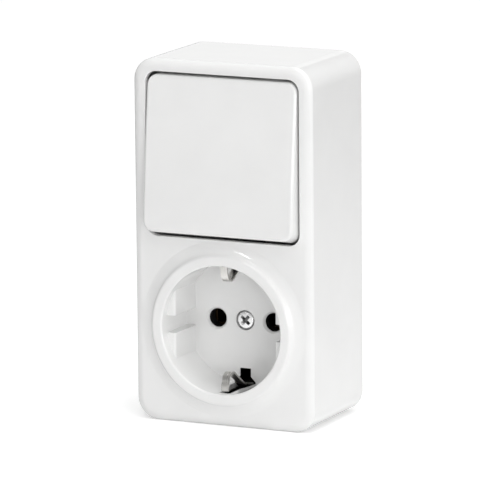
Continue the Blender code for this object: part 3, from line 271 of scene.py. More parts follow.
# Lamps round the target: azimuth from the front and elevation in degrees, distance, size and watts
TARGET = Vector((0, -0.02, 0))
LAMPS = (
    ("right", 45, 4, 1.6, (0.8, 0.5), 6.1),
    ("right_side", 75, 6, 1.6, (0.6, 0.5), 3.0),
    ("upper_right", 50, 42, 1.6, (0.5, 0.5), 2.6),
    ("overhead", 60, 80, 1.5, (0.8, 0.5), 9.4),
    ("above", 180, 76, 1.5, (1.2, 1.0), 3.2),
    ("front_top", 10, 55, 1.6, (0.5, 0.4), 2.6),
    ("front", 20, 12, 1.6, (1.6, 1.0), 1.8),
    ("spark", -15.5, 20.5, 1.6, (0.24, 0.07), 0.8),
    ("left_fill", -65, 8, 1.6, (1.2, 0.8), 0.7),
    ("backdrop", -154, 13, 1.6, (1.2, 0.7), 1.8),
)

# Camera, from the photograph: azimuth from the front, elevation and roll in degrees, lens in millimetres
CAMERA_AZIMUTH = 25.532
CAMERA_ELEVATION = 10.799
CAMERA_ROLL = -0.502
CAMERA_PLACE = Vector((0.71223, -1.51557, 0.31481))
CAMERA_LENS = 413.26
CAMERA_SENSOR = 36.0
CAMERA_RANGE = (0.05, 20)


# Mesh helpers


def new_object(name, bm, helper=False):
    """An object made of bm. A helper only cuts or joins others, and never renders."""
    bmesh.ops.recalc_face_normals(bm, faces=bm.faces)
    mesh = bpy.data.meshes.new(name)
    bm.to_mesh(mesh)
    bm.free()
    made = bpy.data.objects.new(name, mesh)
    bpy.context.scene.collection.objects.link(made)
    made.hide_render = helper
    return made


def arc(centre, radius, start, end, steps):
    """Points (a, b) on an arc round centre, from the angle start to end, in degrees."""
    found = []
    for step in range(steps + 1):
        angle = math.radians(start + (end - start) * step / steps)
        found.append((centre[0] + radius * math.cos(angle), centre[1] + radius * math.sin(angle)))
    return found


def rounded_loop(half_x, half_z, corner, steps, centre_z=0.0):
    """Points (x, z) round a rectangle with arcs at its corners."""
    points = []
    for quarter in range(4):
        cx = (half_x - corner) * (1 if quarter in (0, 3) else -1)
        cz = (half_z - corner) * (1 if quarter in (0, 1) else -1)
        points += arc((cx, centre_z + cz), corner, 90 * quarter, 90 * (quarter + 1), steps)
    return points


def mirrored(half):
    """A whole outline from its right half, with X first in each point."""
    return half + [(-x, other) for x, other in reversed(half)]


def smooth(points, steps):
    """Points on a soft curve through all of points."""
    known = [Vector(point) for point in points]
    known = [2 * known[0] - known[1], *known, 2 * known[-1] - known[-2]]
    found = []
    for a, b, c, d in zip(known, known[1:], known[2:], known[3:]):
        for step in range(steps):
            t = step / steps
            straight = 2 * b + (c - a) * t
            bend = (2 * a - 5 * b + 4 * c - d) * t**2
            twist = (3 * b - a - 3 * c + d) * t**3
            found.append(0.5 * (straight + bend + twist))
    found.append(known[-2])
    return found


def join_rings(bm, near, far):
    """Faces between two rings with as many points."""
    for number in range(len(near)):
        after = (number + 1) % len(near)
        bm.faces.new((near[number], near[after], far[after], far[number]))


def lofted(name, rings, helper=False):
    """A closed solid through rings, each (points, y) with as many points as the next."""
    bm = bmesh.new()
    loops = [[bm.verts.new((x, y, z)) for x, z in points] for points, y in rings]
    for near, far in zip(loops, loops[1:]):
        join_rings(bm, near, far)
    bm.faces.new(loops[0])
    bm.faces.new(loops[-1])
    return new_object(name, bm, helper)


def prism(name, points, span):
    """A straight helper: points (x, z) swept along Y over span."""
    return lofted(name, [(points, span[0]), (points, span[1])], helper=True)


def turned(name, profile, centre, sides, helper=True):
    """A closed solid turned about an axis along Y through centre, from (radius, y) points."""
    bm = bmesh.new()
    rings = []
    for radius, y in profile:
        ring = []
        for number in range(sides if radius else 1):
            angle = 2 * math.pi * number / sides
            x = centre[0] + radius * math.cos(angle)
            z = centre[1] + radius * math.sin(angle)
            ring.append(bm.verts.new((x, y, z)))
        rings.append(ring)
    for near, far in zip(rings, rings[1:]):
        for number in range(sides):
            after = (number + 1) % sides
            corners = [near[number % len(near)], near[after % len(near)]]
            corners += [far[after % len(far)], far[number % len(far)]]
            face = list(dict.fromkeys(corners))
            if len(face) > 2:
                bm.faces.new(face)
    return new_object(name, bm, helper)


def block(x, y, z):
    """The mesh of a block between two places on each axis."""
    bm = bmesh.new()
    bmesh.ops.create_cube(bm, size=1)
    bmesh.ops.scale(bm, vec=(x[1] - x[0], y[1] - y[0], z[1] - z[0]), verts=bm.verts)
    middle = ((x[0] + x[1]) / 2, (y[0] + y[1]) / 2, (z[0] + z[1]) / 2)
    bmesh.ops.translate(bm, vec=middle, verts=bm.verts)
    return bm


def box(name, x, y, z):
    """A helper block between two places on each axis."""
    return new_object(name, block(x, y, z), helper=True)


def ribbon(name, path, half_width, thickness, helper=False):
    """Sheet metal along path, points (y, z), that reaches half_width to each side of X = 0."""
    points = [Vector(point) for point in path]
    bm = bmesh.new()
    stations = []
    for number, point in enumerate(points):
        before = points[number - 1] if number else 2 * point - points[1]
        after = points[number + 1] if number < len(points) - 1 else 2 * point - before
        leaving = (after - point).normalized()
        along = ((point - before).normalized() + leaving).normalized()
        out = Vector((-along.y, along.x)) * (thickness / 2 / along.dot(leaving))
        station = []
        for side, shift in ((-1, out), (1, out), (1, -out), (-1, -out)):
            place = point + shift
            station.append(bm.verts.new((side * half_width, place.x, place.y)))
        stations.append(station)
    for near, far in zip(stations, stations[1:]):
        join_rings(bm, near, far)
    bm.faces.new(stations[0])
    bm.faces.new(stations[-1])
    return new_object(name, bm, helper)


def combine(piece, operation, others):
    """Adds one boolean step for each of others."""
    for other in others:
        step = piece.modifiers.new(other.name, "BOOLEAN")
        step.operation = operation
        step.solver = "EXACT"
        step.object = other


def settle(piece, angle=SHARP_ANGLE, edge=0.0):
    """Applies the modifiers, rounds sharp edges by edge, shades smooth and removes the helpers."""
    if edge:
        rounding = piece.modifiers.new("edges", "BEVEL")
        rounding.width = edge
        rounding.segments = 2
        rounding.limit_method = "ANGLE"
        rounding.angle_limit = math.radians(ROUNDED_ANGLE)
    bpy.context.view_layer.update()
    graph = bpy.context.evaluated_depsgraph_get()
    mesh = bpy.data.meshes.new_from_object(piece.evaluated_get(graph))
    used = [step.object for step in piece.modifiers if step.type == "BOOLEAN"]
    piece.modifiers.clear()
    piece.data = mesh
    mesh.name = piece.name
    for helper in used:
        bpy.data.objects.remove(helper, do_unlink=True)
    mesh.shade_smooth()
    mesh.set_sharp_from_angle(angle=math.radians(angle))
    weights = piece.modifiers.new("face weights", "WEIGHTED_NORMAL")
    weights.keep_sharp = True
    weights.weight = NORMAL_WEIGHT


def dress(piece, look, body, slot, *nodes):
    """Gives a finished piece its finish and its body, and hides the nodes it stands for."""
    piece.data.materials.clear()
    piece.data.materials.append(look)
    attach(piece, body)
    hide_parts(*nodes)


# Material helpers


def new_material(name, colour, roughness, metallic=0.0):
    """A material, with the nodes, links and shader that its finish is built from."""
    made = bpy.data.materials.new(name)
    made.use_nodes = True
    shader = made.node_tree.nodes["Principled BSDF"]
    shader.inputs["Base Color"].default_value = (*colour, 1)
    shader.inputs["Roughness"].default_value = roughness
    shader.inputs["Metallic"].default_value = metallic
    return made, made.node_tree.nodes, made.node_tree.links, shader


def noise(nodes, links, scale, detail=3.0, stretch=None):
    """A noise over the object's own coordinates, stretched along its axes where stretch says so."""
    texture = nodes.new("ShaderNodeTexNoise")
    texture.inputs["Scale"].default_value = scale
    texture.inputs["Detail"].default_value = detail
    place = nodes.new("ShaderNodeTexCoord").outputs["Object"]
    if stretch:
        mapping = nodes.new("ShaderNodeMapping")
        mapping.inputs["Scale"].default_value = stretch
        links.new(place, mapping.inputs["Vector"])
        place = mapping.outputs["Vector"]
    links.new(place, texture.inputs["Vector"])
    return texture.outputs["Fac"]


def reckoned(nodes, links, operation, first, second):
    """The result of a maths node on two outputs."""
    made = nodes.new("ShaderNodeMath")
    made.operation = operation
    links.new(first, made.inputs[0])
    links.new(second, made.inputs[1])
    return made.outputs[0]


def ranged(nodes, links, value, source, target):
    """An output moved from the range source to the range target, and held within it."""
    made = nodes.new("ShaderNodeMapRange")
    made.inputs["From Min"].default_value, made.inputs["From Max"].default_value = source
    made.inputs["To Min"].default_value, made.inputs["To Max"].default_value = target
    links.new(value, made.inputs["Value"])
    return made.outputs["Result"]


def blended(nodes, links, share, first, second):
    """A colour that goes from first to second as share goes from 0 to 1."""
    made = nodes.new("ShaderNodeMix")
    made.data_type = "RGBA"
    made.inputs[6].default_value = (*first, 1)
    made.inputs[7].default_value = (*second, 1)
    links.new(share, made.inputs[0])
    return made.outputs[2]


def deepened(nodes, links, stretch, outer, inner):
    """A colour that goes from outer to inner over a stretch of depth along Y."""
    axes = nodes.new("ShaderNodeSeparateXYZ")
    links.new(nodes.new("ShaderNodeTexCoord").outputs["Object"], axes.inputs[0])
    return blended(nodes, links, ranged(nodes, links, axes.outputs["Y"], stretch, (0, 1)), outer, inner)


def tinted(nodes, links, texture, low, high):
    """A colour between low and high, after a noise."""
    ramp = nodes.new("ShaderNodeValToRGB")
    for element, place, colour in zip(ramp.color_ramp.elements, NOISE_RANGE, (low, high)):
        element.position = place
        element.color = (*colour, 1)
    links.new(texture, ramp.inputs["Fac"])
    return ramp.outputs["Color"]


def emboss(nodes, links, texture, strength, depth, shader):
    """Raises the shader's surface after a noise."""
    bump = nodes.new("ShaderNodeBump")
    bump.inputs["Strength"].default_value = strength
    bump.inputs["Distance"].default_value = depth
    links.new(texture, bump.inputs["Height"])
    links.new(bump.outputs["Normal"], shader.inputs["Normal"])


def brush(nodes, links, stretch, roughness, shader):
    """Gives metal fine lines along it, with an uneven gloss."""
    lines = noise(nodes, links, LINE_SCALE, detail=4.0, stretch=stretch)
    links.new(ranged(nodes, links, lines, NOISE_RANGE, roughness), shader.inputs["Roughness"])
    emboss(nodes, links, lines, LINE_STRENGTH, LINE_DEPTH, shader)


def moulded(name, low, high, roughness, grain, depth):
    """Injection-moulded plastic: a faint mottle, a slightly uneven gloss and a fine surface."""
    made, nodes, links, shader = new_material(name, high, sum(roughness) / 2)
    cloud = noise(nodes, links, PLASTIC_CLOUD_SCALE)
    links.new(tinted(nodes, links, cloud, low, high), shader.inputs["Base Color"])
    haze = noise(nodes, links, PLASTIC_HAZE_SCALE)
    links.new(ranged(nodes, links, haze, NOISE_RANGE, roughness), shader.inputs["Roughness"])
    emboss(nodes, links, noise(nodes, links, grain, detail=2.0), GRAIN_STRENGTH, depth, shader)
    return made


def metal(name, low, high, roughness, stretch):
    """Stamped or turned metal with fine lines along it."""
    made, nodes, links, shader = new_material(name, high, sum(roughness) / 2, 1.0)
    cloud = noise(nodes, links, METAL_CLOUD_SCALE)
    links.new(tinted(nodes, links, cloud, low, high), shader.inputs["Base Color"])
    brush(nodes, links, stretch, roughness, shader)
    return made


# Materials: colours, roughness, then a plastic's grain scale and depth, or the stretch of a metal's lines
WHITE = moulded("gloss_white", (0.865, 0.865, 0.86), (0.885, 0.885, 0.88), (0.05, 0.08), 1500, 0.000004)
BASE = moulded("base_grey", (0.69, 0.69, 0.68), (0.73, 0.73, 0.72), (0.42, 0.55), 2600, 0.00004)
BLACK = moulded("insert_black", (0.004, 0.004, 0.0045), (0.007, 0.007, 0.0075), (0.5, 0.65), 2400, 0.00004)
BRASS = metal("brass", (0.74, 0.53, 0.24), (0.83, 0.63, 0.32), (0.26, 0.4), (1, 1, 0.08))
# Painted shade: the contact forks' bronze is near black, standing in for the shade inside the pin holes
BRONZE_PAINTED_DARK = metal("spring_bronze_painted_shade", (0.03, 0.02, 0.012), (0.05, 0.033, 0.018), (0.45, 0.6), (1, 1, 0.08))
NICKEL = metal("nickel", (0.6, 0.59, 0.565), (0.7, 0.69, 0.67), (0.24, 0.36), (1, 0.1, 0.1))
STEEL = metal("zinc_steel", (0.62, 0.63, 0.65), (0.76, 0.76, 0.76), (0.2, 0.36), (0.3, 1, 1))
LOOKS = {
    "white_plastic": WHITE,
    "base_plastic": BASE,
    "insert_plastic": BLACK,
    "brass": BRASS,
    "nickel": NICKEL,
    "screw_steel": STEEL,
}
SPRING_FORKS = ("contact_sleeve_left", "contact_sleeve_right")


# Housing


def housing_block():
    """The outside: straight sides, a small round at the crease and a convex bevel up to the front."""
    rings = []

    def ring(inset, y):
        half_x, half_z = HALF_WIDTH - inset, HALF_HEIGHT - inset
        rings.append((rounded_loop(half_x, half_z, BODY_CORNER - inset, BODY_STEPS), y))

    half_turn = 2 * math.atan(BEVEL_DEPTH / BEVEL_WIDTH)
    sweep = BEVEL_WIDTH / math.sin(half_turn)
    crease = FRONT + BEVEL_DEPTH
    ring(EDGE_ROUND, 0)
    ring(0, -EDGE_ROUND)
    ring(0, crease + CREASE_ROUND)
    for step in range(1, CREASE_STEPS):
        share = step / CREASE_STEPS
        inset = math.cos(half_turn) * share**2 + CREASE_BULGE * share * (1 - share)
        depth = 1 - share - CREASE_LEAD * share**2
        ring(CREASE_ROUND * inset, crease + CREASE_ROUND * depth)
    for step in range(1, BEVEL_STEPS + 1):
        angle = half_turn * (1 - step / BEVEL_STEPS)
        inward = sweep * (math.sin(half_turn) - math.sin(angle))
        forward = sweep * (math.cos(angle) - math.cos(half_turn))
        if inward > CREASE_ROUND:
            ring(inward, crease - forward)
    return lofted("housing_shell", rings)


def housing_hollow():
    """The space inside, rounded where it meets the front wall."""
    centre = (HOLLOW_ROUND, FRONT + WALL + HOLLOW_ROUND)
    rings = []
    for inset, y in [(0, WALL), *arc(centre, HOLLOW_ROUND, 180, 270, EDGE_STEPS)]:
        half_x = HALF_WIDTH - WALL - inset
        half_z = HALF_HEIGHT - WALL - inset
        rings.append((rounded_loop(half_x, half_z, BODY_CORNER - WALL - inset, CORNER_STEPS), y))
    return lofted("housing_hollow", rings, helper=True)


def opening():
    """The rocker's opening, flared into a small round at the front edge."""
    flare = OPENING_EDGE_ROUND
    edge = arc((flare, FRONT + flare), flare, 270, 180, EDGE_STEPS)
    rings = []
    for more, y in [(flare, FRONT - OPENING_AHEAD), *edge, (0, FRONT + 2 * WALL)]:
        half_x = OPENING_HALF_WIDTH + more
        half_z = OPENING_HALF_HEIGHT + more
        rings.append((rounded_loop(half_x, half_z, OPENING_CORNER + more, CORNER_STEPS, PIVOT.z), y))
    return lofted("opening", rings, helper=True)


def collar():
    """The collar with its rounded land edge and hollow flank, and the cup behind it."""
    profile = [(0, COLLAR_TOP)]
    profile += [(point.x, COLLAR_TOP + point.y) for point in smooth(COLLAR_CURVE, CURVE_STEPS)]
    profile += [
        (COLLAR_CURVE[-1][0], FRONT + WALL / 2),
        (CUP_RADIUS, FRONT + WALL / 2),
        (CUP_RADIUS, FLOOR_BACK),
        (0, FLOOR_BACK),
    ]
    return turned("collar", profile, (0, SOCKET_Z), RECESS_SIDES)


def recess():
    """The round recess, with a small round at its mouth and at its floor."""
    mouth_centre = (RECESS_RADIUS + MOUTH_ROUND, COLLAR_TOP + MOUTH_ROUND)
    floor_centre = (RECESS_RADIUS - FLOOR_ROUND, FLOOR_FACE - FLOOR_ROUND)
    profile = [
        (0, COLLAR_TOP - WALL),
        (mouth_centre[0], COLLAR_TOP - WALL),
        *arc(mouth_centre, MOUTH_ROUND, -90, -180, ROUND_STEPS),
        *arc(floor_centre, FLOOR_ROUND, 0, 90, FLOOR_ROUND_STEPS),
        (0, FLOOR_FACE),
    ]
    return turned("recess", profile, (0, SOCKET_Z), RECESS_SIDES)


def heights(level, near, far):
    """Two heights at distances above or below the socket's axis, the lower one first."""
    return sorted((SOCKET_Z + level * near, SOCKET_Z + level * far))


def edges_at(bm, axis, place):
    """The edges that lie wholly at one place along an axis."""
    return [e for e in bm.edges if all(abs(v.co[axis] - place) < SAME_PLACE for v in e.verts)]


def round_off(bm, edges, width, segments):
    """Rounds edges of a mesh that is still being built."""
    bmesh.ops.bevel(bm, geom=edges, offset=width, segments=segments, profile=0.5, affect="EDGES")


def pad(side, level):
    """A guide pad, with a rounded chamfer where a plug's flat enters."""
    face_x = side * PAD_HALF_SPAN
    x = sorted((face_x, side * (CUP_RADIUS + WALL)))
    z = heights(level, PAD_SLOT_HALF, CUP_RADIUS)
    bm = block(x, (PAD_TOP, FLOOR_FACE + PAD_IN_FLOOR), z)
    entry = [e for e in edges_at(bm, 1, PAD_TOP) if e in edges_at(bm, 0, face_x)]
    round_off(bm, entry, PAD_CHAMFER, PAD_CHAMFER_STEPS)
    beside_slot = edges_at(bm, 2, SOCKET_Z + level * PAD_SLOT_HALF)
    round_off(bm, beside_slot, EDGE_ROUND, PAD_EDGE_STEPS)
    made = new_object(f"pad_{side}_{level}", bm, helper=True)
    radius = RECESS_RADIUS + PAD_IN_WALL
    near, far = PAD_TOP - WALL, FLOOR_FACE + WALL
    profile = [(0, near), (radius, near), (radius, far), (0, far)]
    limit = turned(f"pad_limit_{side}_{level}", profile, (0, SOCKET_Z), RECESS_SIDES)
    combine(made, "INTERSECT", [limit])
    settle(made)
    made.modifiers.clear()
    return made


def wall_slot(level):
    """The clip's slot through the recess wall, as wide as its lips at each depth."""
    half = [(x, COLLAR_TOP + depth) for depth, x in CLIP_WALL_SLOT]
    span = heights(level, RECESS_RADIUS - CLIP_SLOT_AHEAD, CUP_RADIUS + CLIP_SLOT_MARGIN)
    slot = prism(f"wall_slot_{level}", mirrored(half), span)
    slot.data.transform(Matrix(((1, 0, 0, 0), (0, 0, 1, 0), (0, 1, 0, 0), (0, 0, 0, 1))))
    slot.data.flip_normals()
    return slot


def wall_relief(level):
    """The wider room behind the wall slot's lips."""
    x = (-CLIP_RELIEF_HALF, CLIP_RELIEF_HALF)
    y = (CLIP_SLOT_FRONT, FLOOR_BACK + WALL)
    z = heights(level, RECESS_RADIUS + CLIP_SLOT_LIP, CUP_RADIUS + CLIP_SLOT_MARGIN)
    return box(f"wall_relief_{level}", x, y, z)


def floor_slot(level, number, grown, near, end):
    """The clip's slot through the recess floor, or the room behind it, which is grown on three sides."""
    half = [
        (CLIP_FLOOR_SLOT_HALF + grown, CLIP_FLOOR_SLOT_START - grown),
        (CLIP_FLOOR_SLOT_HALF + grown, CLIP_FLARE_START - grown),
        (CLIP_FLARE_HALF + grown, RECESS_RADIUS - CLIP_SLOT_AHEAD - grown),
        (CLIP_FLARE_HALF + grown, end),
    ]
    points = [(x, SOCKET_Z + level * reach) for x, reach in mirrored(half)]
    return prism(f"floor_slot_{level}_{number}", points, (near, FLOOR_BACK + 2 * WALL))


def clip_slots():
    """The slots of the earth clips: thin lips at the recess, flared at its corner, and relieved behind."""
    ahead = FLOOR_FACE - CLIP_SLOT_AHEAD
    behind = FLOOR_FACE + CLIP_SLOT_LIP
    end = CUP_RADIUS - CLIP_SLOT_MARGIN
    made = []
    for level in (-1, 1):
        made.append(wall_slot(level))
        made.append(wall_relief(level))
        made.append(floor_slot(level, 0, 0, ahead, end))
        made.append(floor_slot(level, 1, CLIP_SLOT_RELIEF, behind, end - CLIP_SLOT_MARGIN))
    return made


def pin_hole(side):
    """A chamfered hole for a plug's pin, with a thin lip and a wider bore behind."""
    mouth = PIN_HOLE_RADIUS + PIN_HOLE_CHAMFER
    profile = [
        (0, FLOOR_FACE - WALL),
        (mouth, FLOOR_FACE - WALL),
        (mouth, FLOOR_FACE),
        (PIN_HOLE_RADIUS + SMALL_EDGE, FLOOR_FACE + PIN_HOLE_CHAMFER - SMALL_EDGE),
        (PIN_HOLE_RADIUS, FLOOR_FACE + PIN_HOLE_CHAMFER + SMALL_EDGE),
        (PIN_HOLE_RADIUS, FLOOR_FACE + PIN_HOLE_LIP),
        (PIN_RELIEF_RADIUS, FLOOR_FACE + PIN_HOLE_LIP),
        (PIN_RELIEF_RADIUS, FLOOR_BACK + WALL),
        (0, FLOOR_BACK + WALL),
    ]
    return turned(f"pin_hole_{side}", profile, (side * PIN_HALF_PITCH, SOCKET_Z), HOLE_SIDES)


def screw_well():
    """The seat of the cover screw, and the passage for its shaft."""
    profile = [
        (0, FLOOR_FACE - WALL),
        (SCREW_WELL_RADIUS + SMALL_EDGE, FLOOR_FACE - WALL),
        (SCREW_WELL_RADIUS + SMALL_EDGE, FLOOR_FACE),
        (SCREW_WELL_RADIUS, FLOOR_FACE + SMALL_EDGE),
        (SCREW_WELL_RADIUS, FLOOR_FACE + SCREW_SEAT_DEPTH),
        (SCREW_PASSAGE, FLOOR_FACE + SCREW_SEAT_DEPTH),
        (SCREW_PASSAGE, FLOOR_BACK + WALL),
        (0, FLOOR_BACK + WALL),
    ]
    return turned("screw_well", profile, (0, SOCKET_Z), HOLE_SIDES)


def make_housing():
    """The white moulding: shell and opening, collar, recess and pads, then the slots and holes."""
    shell = housing_block()
    combine(shell, "DIFFERENCE", [housing_hollow(), opening()])
    combine(shell, "UNION", [collar()])
    combine(shell, "DIFFERENCE", [recess()])
    combine(shell, "UNION", [pad(side, level) for side in (-1, 1) for level in (-1, 1)])
    combine(shell, "DIFFERENCE", [*clip_slots(), pin_hole(-1), pin_hole(1), screw_well()])
    settle(shell)
    dress(shell, WHITE, "casing", "white_plastic", "housing")


# Rocker


def rocker_cap():
    """The cap before it is crowned: a drafted skirt and a rounded edge round the face."""
    rings = []

    def ring(inset, y, flare=0.0):
        half_x = ROCKER_HALF_WIDTH - inset
        half_z = ROCKER_HALF_HEIGHT - inset + flare
        rings.append((rounded_loop(half_x, half_z, ROCKER_CORNER - inset, CORNER_STEPS), y))

    ring(EDGE_ROUND, ROCKER_BACK, ROCKER_DRAFT)
    ring(0, ROCKER_BACK - EDGE_ROUND, ROCKER_DRAFT)
    for a, b in arc((0, 0), ROCKER_EDGE_ROUND, 0, 90, ROCKER_EDGE_STEPS):
        ring(ROCKER_EDGE_ROUND - a, ROCKER_FACE + ROCKER_EDGE_ROUND - b)
    return lofted("rocker_cap", rings)


def crown(cap):
    """Bends the face forward in the middle of its height, fading out down the skirt."""
    bm = bmesh.new()
    bm.from_mesh(cap.data)
    for step in range(1, CROWN_STRIPS):
        level = 2 * ROCKER_HALF_HEIGHT * (step / CROWN_STRIPS - 0.5)
        everything = bm.verts[:] + bm.edges[:] + bm.faces[:]
        bmesh.ops.bisect_plane(bm, geom=everything, plane_co=(0, 0, level), plane_no=(0, 0, 1))
    half_skirt = ROCKER_SKIRT / 2
    for vert in bm.verts:
        ahead = (ROCKER_FACE + half_skirt - vert.co.y) / half_skirt
        if ahead > 0:
            bulge = CROWN_HEIGHT * max(0, 1 - (vert.co.z / ROCKER_HALF_HEIGHT) ** 2)
            vert.co.y -= bulge * min(1, CROWN_REACH * ahead)
    bm.to_mesh(cap.data)
    bm.free()


def rocker_hollow():
    """The space behind the face, inside the skirt."""
    half_x, half_z = ROCKER_HALF_WIDTH - ROCKER_WALL, ROCKER_HALF_HEIGHT - ROCKER_WALL
    points = rounded_loop(half_x, half_z, ROCKER_CORNER - ROCKER_WALL, INNER_STEPS)
    return prism("rocker_hollow", points, (ROCKER_INSIDE, ROCKER_BACK + WALL))


def rocker_leg(side, level):
    """One of the legs that clip round the toggle."""
    x = (side * LEG_X - LEG_WIDTH / 2, side * LEG_X + LEG_WIDTH / 2)
    z = sorted((level * LEG_NEAR, level * (LEG_NEAR + LEG_THICKNESS)))
    return box(f"leg_{side}_{level}", x, (ROCKER_INSIDE - ROCKER_FACE_WALL / 2, LEG_END), z)


def make_rocker():
    """The crowned cap, hollow behind, with its four clip legs."""
    cap = rocker_cap()
    crown(cap)
    combine(cap, "DIFFERENCE", [rocker_hollow()])
    combine(cap, "UNION", [rocker_leg(side, level) for side in (-1, 1) for level in (-1, 1)])
    settle(cap)
    cap.data.transform(Matrix.Translation(PIVOT) @ Matrix.Rotation(-ROCKER_TILT, 4, "X"))
    dress(cap, WHITE, "rocker", "white_plastic", "rocker")


# Cover screw


def screw_metal():
    """Bright steel, with painted shade that darkens its cross recess deep inside."""
    made, nodes, links, shader = new_material("cross_steel", SCREW_TONE, 0.25, 1.0)
    # Painted shade: the steel's tone darkens with depth into the cross recess
    tone = deepened(nodes, links, CROSS_SHADE, SCREW_TONE, CROSS_PAINTED_SHADE)
    links.new(tone, shader.inputs["Base Color"])
    brush(nodes, links, (0.3, 1, 1), (0.2, 0.34), shader)
    return made


def screw_profile():
    """The pan head, and the shaft with its thread, as (radius, y) points."""
    front = SCREW_LOW.y
    radius = (SCREW_HIGH.x - SCREW_LOW.x) / 2
    back = front + SCREW_HEAD
    centre = (radius - SCREW_HEAD_ROUND, front + SCREW_HEAD_ROUND)
    profile = [(0, front), *arc(centre, SCREW_HEAD_ROUND, -90, 0, ROUND_STEPS)]
    profile += [(radius, back), (SCREW_SHAFT, back)]
    root = SCREW_SHAFT - THREAD_DEPTH
    y = back + THREAD_START
    while y < SCREW_HIGH.y - THREAD_END:
        profile.append((root, y))
        profile += [(SCREW_SHAFT, y + THREAD_PITCH * share) for share in THREAD_CREST]
        y += THREAD_PITCH
    return [*profile, (root, SCREW_HIGH.y - SCREW_TIP), (0, SCREW_HIGH.y)]


def cross_arm(number):
    """One of the two crossing slots of the recess, narrower and shorter at the bottom."""
    bm = bmesh.new()
    bmesh.ops.create_cube(bm, size=2)
    for vert in bm.verts:
        deep = vert.co.y > 0
        half_length, half_width = CROSS_BOTTOM if deep else CROSS_MOUTH
        vert.co.x *= half_length
        vert.co.y = CROSS_DEPTH if deep else -CROSS_START
        vert.co.z *= half_width
    arm = new_object(f"arm_{number}", bm, helper=True)
    turn = Matrix.Rotation(math.radians(CROSS_TURN + 90 * number), 4, "Y")
    arm.data.transform(Matrix.Translation((0, SCREW_LOW.y, SOCKET_Z)) @ turn)
    return arm


def make_cover_screw():
    """The pan-head screw with its cross recess."""
    screw = turned("cover_screw_cross", screw_profile(), (0, SOCKET_Z), SCREW_SIDES, helper=False)
    combine(screw, "DIFFERENCE", [cross_arm(0), cross_arm(1)])
    settle(screw)
    dress(screw, screw_metal(), "casing", "screw_steel", "cover_screw")


# Earth strap


def strap_metal():
    """Nickel with painted shade, near black, where the strap lies behind the recess floor."""
    made, nodes, links, shader = new_material("strap_nickel", STRAP_TONE, 0.3, 1.0)
    # Painted shade: the nickel's tone turns near black with depth behind the recess floor
    tone = deepened(nodes, links, STRAP_SHADE_DEPTHS, STRAP_TONE, STRAP_PAINTED_SHADE)
    links.new(tone, shader.inputs["Base Color"])
    brush(nodes, links, (1, 0.1, 0.1), (0.24, 0.36), shader)
    return made


def placed(points, level):
    """Points (y, reach) as (y, z), with the reach going up or down from the socket's axis."""
    return [(y, SOCKET_Z + level * reach) for y, reach in points]


def strap():
    """The straight strip with its upturned ends."""
    corner = (STRAP_Y - STRAP_BEND, STRAP_REACH - STRAP_BEND)
    half = [(STRAP_END + SHOULDER_LENGTH, STRAP_REACH), *arc(corner, STRAP_BEND, 90, 0, ROUND_STEPS)]
    path = half + [(y, -reach) for y, reach in reversed(half)]
    return ribbon("earth_strap_clips", placed(path, 1), STRAP_HALF_WIDTH, STRAP_THICKNESS)


def clip(level):
    """The shoulder at one end of the strap, and the springy clip, which starts a little back along it."""
    steps = [
        (STRAP_END + along * SHOULDER_LENGTH, STRAP_REACH - inward * SHOULDER_INWARD)
        for along, inward in SHOULDER_CURVE
    ]
    hang = CLIP_UPPER_HANG if level > 0 else 1.0
    bow = [(COLLAR_TOP + depth, RECESS_RADIUS - inset * hang) for depth, inset in CLIP_CURVE]
    shoulder = smooth(steps, CURVE_STEPS)
    route = [*reversed(shoulder[1:CURVE_STEPS]), *smooth([steps[0], *bow], CLIP_STEPS)]
    return [
        ribbon(f"shoulder_{level}", placed(shoulder, level), STRAP_HALF_WIDTH, CLIP_THICKNESS, helper=True),
        ribbon(f"clip_{level}", placed(route, level), CLIP_HALF_WIDTH, CLIP_THICKNESS, helper=True),
    ]


def strap_hole(number, x, z, radius):
    """A hole through the strap or its tab."""
    near, far = STRAP_FACES[0] - WALL, STRAP_FACES[1] + WALL
    profile = [(0, near), (radius, near), (radius, far), (0, far)]
    return turned(f"strap_hole_{number}", profile, (x, z), STRAP_HOLE_SIDES)


def make_earth_strap():
    """The strap with a clip from each end, the tab for the earth wire, and two holes."""
    piece = strap()
    x = (CLAMP_LOW.x + CLAMP_HIGH.x) / 2
    z = (CLAMP_LOW.z + CLAMP_HIGH.z) / 2
    tab = box("earth_tab", (STRAP_LOW.x, 0), STRAP_FACES, (z - TAB_HALF_WIDTH, z + TAB_HALF_WIDTH))
    combine(piece, "UNION", [*clip(-1), *clip(1), tab])
    holes = [strap_hole(0, 0, SOCKET_Z, SCREW_PASSAGE), strap_hole(1, x, z, TAB_HOLE_RADIUS)]
    combine(piece, "DIFFERENCE", holes)
    settle(piece, edge=STRAP_EDGE)
    dress(piece, strap_metal(), "casing", "nickel", "earth_strap")


# The pieces that show only through holes, from behind or not at all


def round_edges(dressed):
    """Gives every node that isn't dressed yet its finish, with its moulded or stamped edges rounded."""
    bodies = frame["record"]["behaviour"]["bodies"]
    body_of = {node: body for body, nodes in bodies.items() for node in nodes}
    for row in frame["record"]["subparts"]:
        node, slot = row["node"], row["material_slot"]
        if node in dressed:
            continue
        solid = frame["nodes"][node]
        piece = bpy.data.objects.new(f"{node}_edged", solid.data.copy())
        bpy.context.scene.collection.objects.link(piece)
        piece.matrix_world = solid.matrix_world.copy()
        flat = math.radians(FLAT_ANGLE)
        bm = bmesh.new()
        bm.from_mesh(piece.data)
        bmesh.ops.remove_doubles(bm, verts=bm.verts, dist=SAME_PLACE)
        bmesh.ops.dissolve_limit(bm, angle_limit=flat, verts=bm.verts, edges=bm.edges)
        bm.to_mesh(piece.data)
        bm.free()
        settle(piece, BLOCK_SHARP_ANGLE, SMALL_EDGE)
        # The contact forks take the bronze painted near black, as painted shade in the pin holes
        dress(piece, BRONZE_PAINTED_DARK if node in SPRING_FORKS else LOOKS[slot], body_of[node], slot, node)


# Floor, light and camera


